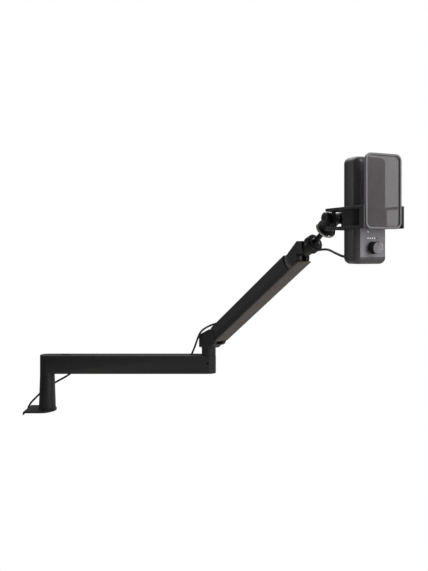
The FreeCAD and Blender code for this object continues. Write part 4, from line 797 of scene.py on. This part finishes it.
# Dipped wire: dark grey enamel, satin, slightly uneven where the dip ran.
dipped_wire = coating("dipped_dark_steel_wire", "#403b3d", "#4b4648", 6.0, (0.4, 0.55), 0.01, "#675f62", 1.5)
fitted(net, mount_place @ Matrix.Translation(Vector((NET_X, 0, (NET_LOW + NET_HIGH) / 2)) / 1000), "pop_net",
       dipped_wire, 60)

# Lead: one black PVC-jacketed cable of 4.1 mm, laid through both arms. Its free stretches are drawn as
# tubes along their routes; the stretches inside the arms stay as the solids they are.
LEAD_RADIUS = 0.00205
LEAD_STRETCHES = (
    # name, the two bodies it runs between, far end, lay, and its route from where it leaves, in metres
    ("lead_base", ("lower_arm", "base"), "plug", "hanging", (
        (0.062, -0.0006, 0.0865), (0.05, 0.0009, 0.079), (0.036, 0.009, 0.069), (0.018, 0.017, 0.059),
        (0, 0.0215, 0.048), (-0.017, 0.0245, 0.036), (-0.033, 0.028, 0.02), (-0.047, 0.032, 0.006),
        (-0.055, 0.0345, -0.016), (-0.057, 0.035, -0.044), (-0.0575, 0.0345, -0.074),
        (-0.057, 0.034, -0.104))),
    ("lead_elbow_low", ("lower_arm", "elbow"), "object", "loose", (
        (0.302, 0, 0.114), (0.3075, -0.0001, 0.1265), (0.312, -0.00045, 0.1383), (0.315, -0.001525, 0.1473))),
    ("lead_elbow_high", ("elbow", "upper_arm"), "object", "loose", (
        (0.315, -0.001525, 0.1473), (0.318, -0.0026, 0.1563), (0.3226, -0.0051, 0.1658),
        (0.329, -0.0079, 0.1724), (0.3385, -0.0128, 0.1786), (0.35, -0.0186, 0.184),
        (0.3625, -0.0252, 0.1882), (0.3732, -0.0334, 0.1906), (0.3806, -0.0422, 0.1926),
        (0.3872, -0.052, 0.1969), (0.3939, -0.0619, 0.20345))),
    ("lead_head", ("head", "ball"), "object", "loose", (
        (0.5238, -0.24067, 0.33725), (0.5331, -0.244, 0.33875), (0.541, -0.251, 0.3397),
        (0.546, -0.2625, 0.3386), (0.5476, -0.2704, 0.337))),
    ("lead_middle", ("ball", "mount"), "object", "loose", (
        (0.5476, -0.2704, 0.337), (0.5492, -0.2783, 0.3354), (0.5518, -0.2935, 0.3327),
        (0.55285, -0.30525, 0.3312))),
    ("lead_mic", ("mount", "cradle"), "plug", "loose", (
        (0.55285, -0.30525, 0.3312), (0.5539, -0.317, 0.3297), (0.5538, -0.3395, 0.3281),
        (0.55973, -0.35423, 0.32798))),
)
# Soft PVC, extruded over the wires: near black, with the faint matt mottling of the extruder.
MOTTLE_MM = 2.5
jacket = bpy.data.materials.new("extruded_black_pvc")
jacket.use_nodes = True
tree = jacket.node_tree
skin = tree.nodes["Principled BSDF"]
where = add(tree, "ShaderNodeTexCoord")
mottle = add(tree, "ShaderNodeTexNoise", {"Vector": where.outputs["Object"], "Scale": 1000 / MOTTLE_MM,
                                          "Detail": 4})
shades = add(tree, "ShaderNodeValToRGB", {"Fac": mottle.outputs["Fac"]})
shades.color_ramp.elements[0].color = linear("#0b0b0b")
shades.color_ramp.elements[1].color = linear("#171616")
tree.links.new(shades.outputs["Color"], skin.inputs["Base Color"])
dullness = add(tree, "ShaderNodeMapRange", {"Value": mottle.outputs["Fac"], "To Min": 0.52, "To Max": 0.66})
tree.links.new(dullness.outputs["Result"], skin.inputs["Roughness"])
skin.inputs["IOR"].default_value = 1.53

# Each plug is the same soft PVC, moulded over the lead's end.
mic_plug = softened("mic_plug", 0.5, jacket)
desk_plug = softened("desk_plug", 0.5, jacket)
for stretch, (first, second), far_end, lay, route in LEAD_STRETCHES:
    spline_data = bpy.data.curves.new(stretch + "_line", "CURVE")
    spline_data.dimensions = "3D"
    spline_data.resolution_u = 10
    spline = spline_data.splines.new("NURBS")
    spline.points.add(len(route) - 1)
    for point, place in zip(spline.points, route):
        point.co = (*place, 1)
    spline.order_u = 3
    spline.use_endpoint_u = True
    line = bpy.data.objects.new(stretch + "_jacket", spline_data)
    scene.collection.objects.link(line)
    bpy.context.view_layer.update()
    centre_line = [v.co.copy() for v in bpy.data.meshes.new_from_object(line).vertices]
    spline_data.bevel_depth = LEAD_RADIUS
    spline_data.bevel_resolution = 5
    spline_data.use_fill_caps = True
    alone(line)
    bpy.ops.object.convert(target="MESH")
    cable = bpy.context.object
    bpy.ops.object.shade_smooth_by_angle(angle=math.radians(50))
    cable.data.materials.clear()
    cable.data.materials.append(jacket)
    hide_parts(stretch)
    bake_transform(cable)
finished(jacket, "lead_lower_arm", "lead_upper_arm")
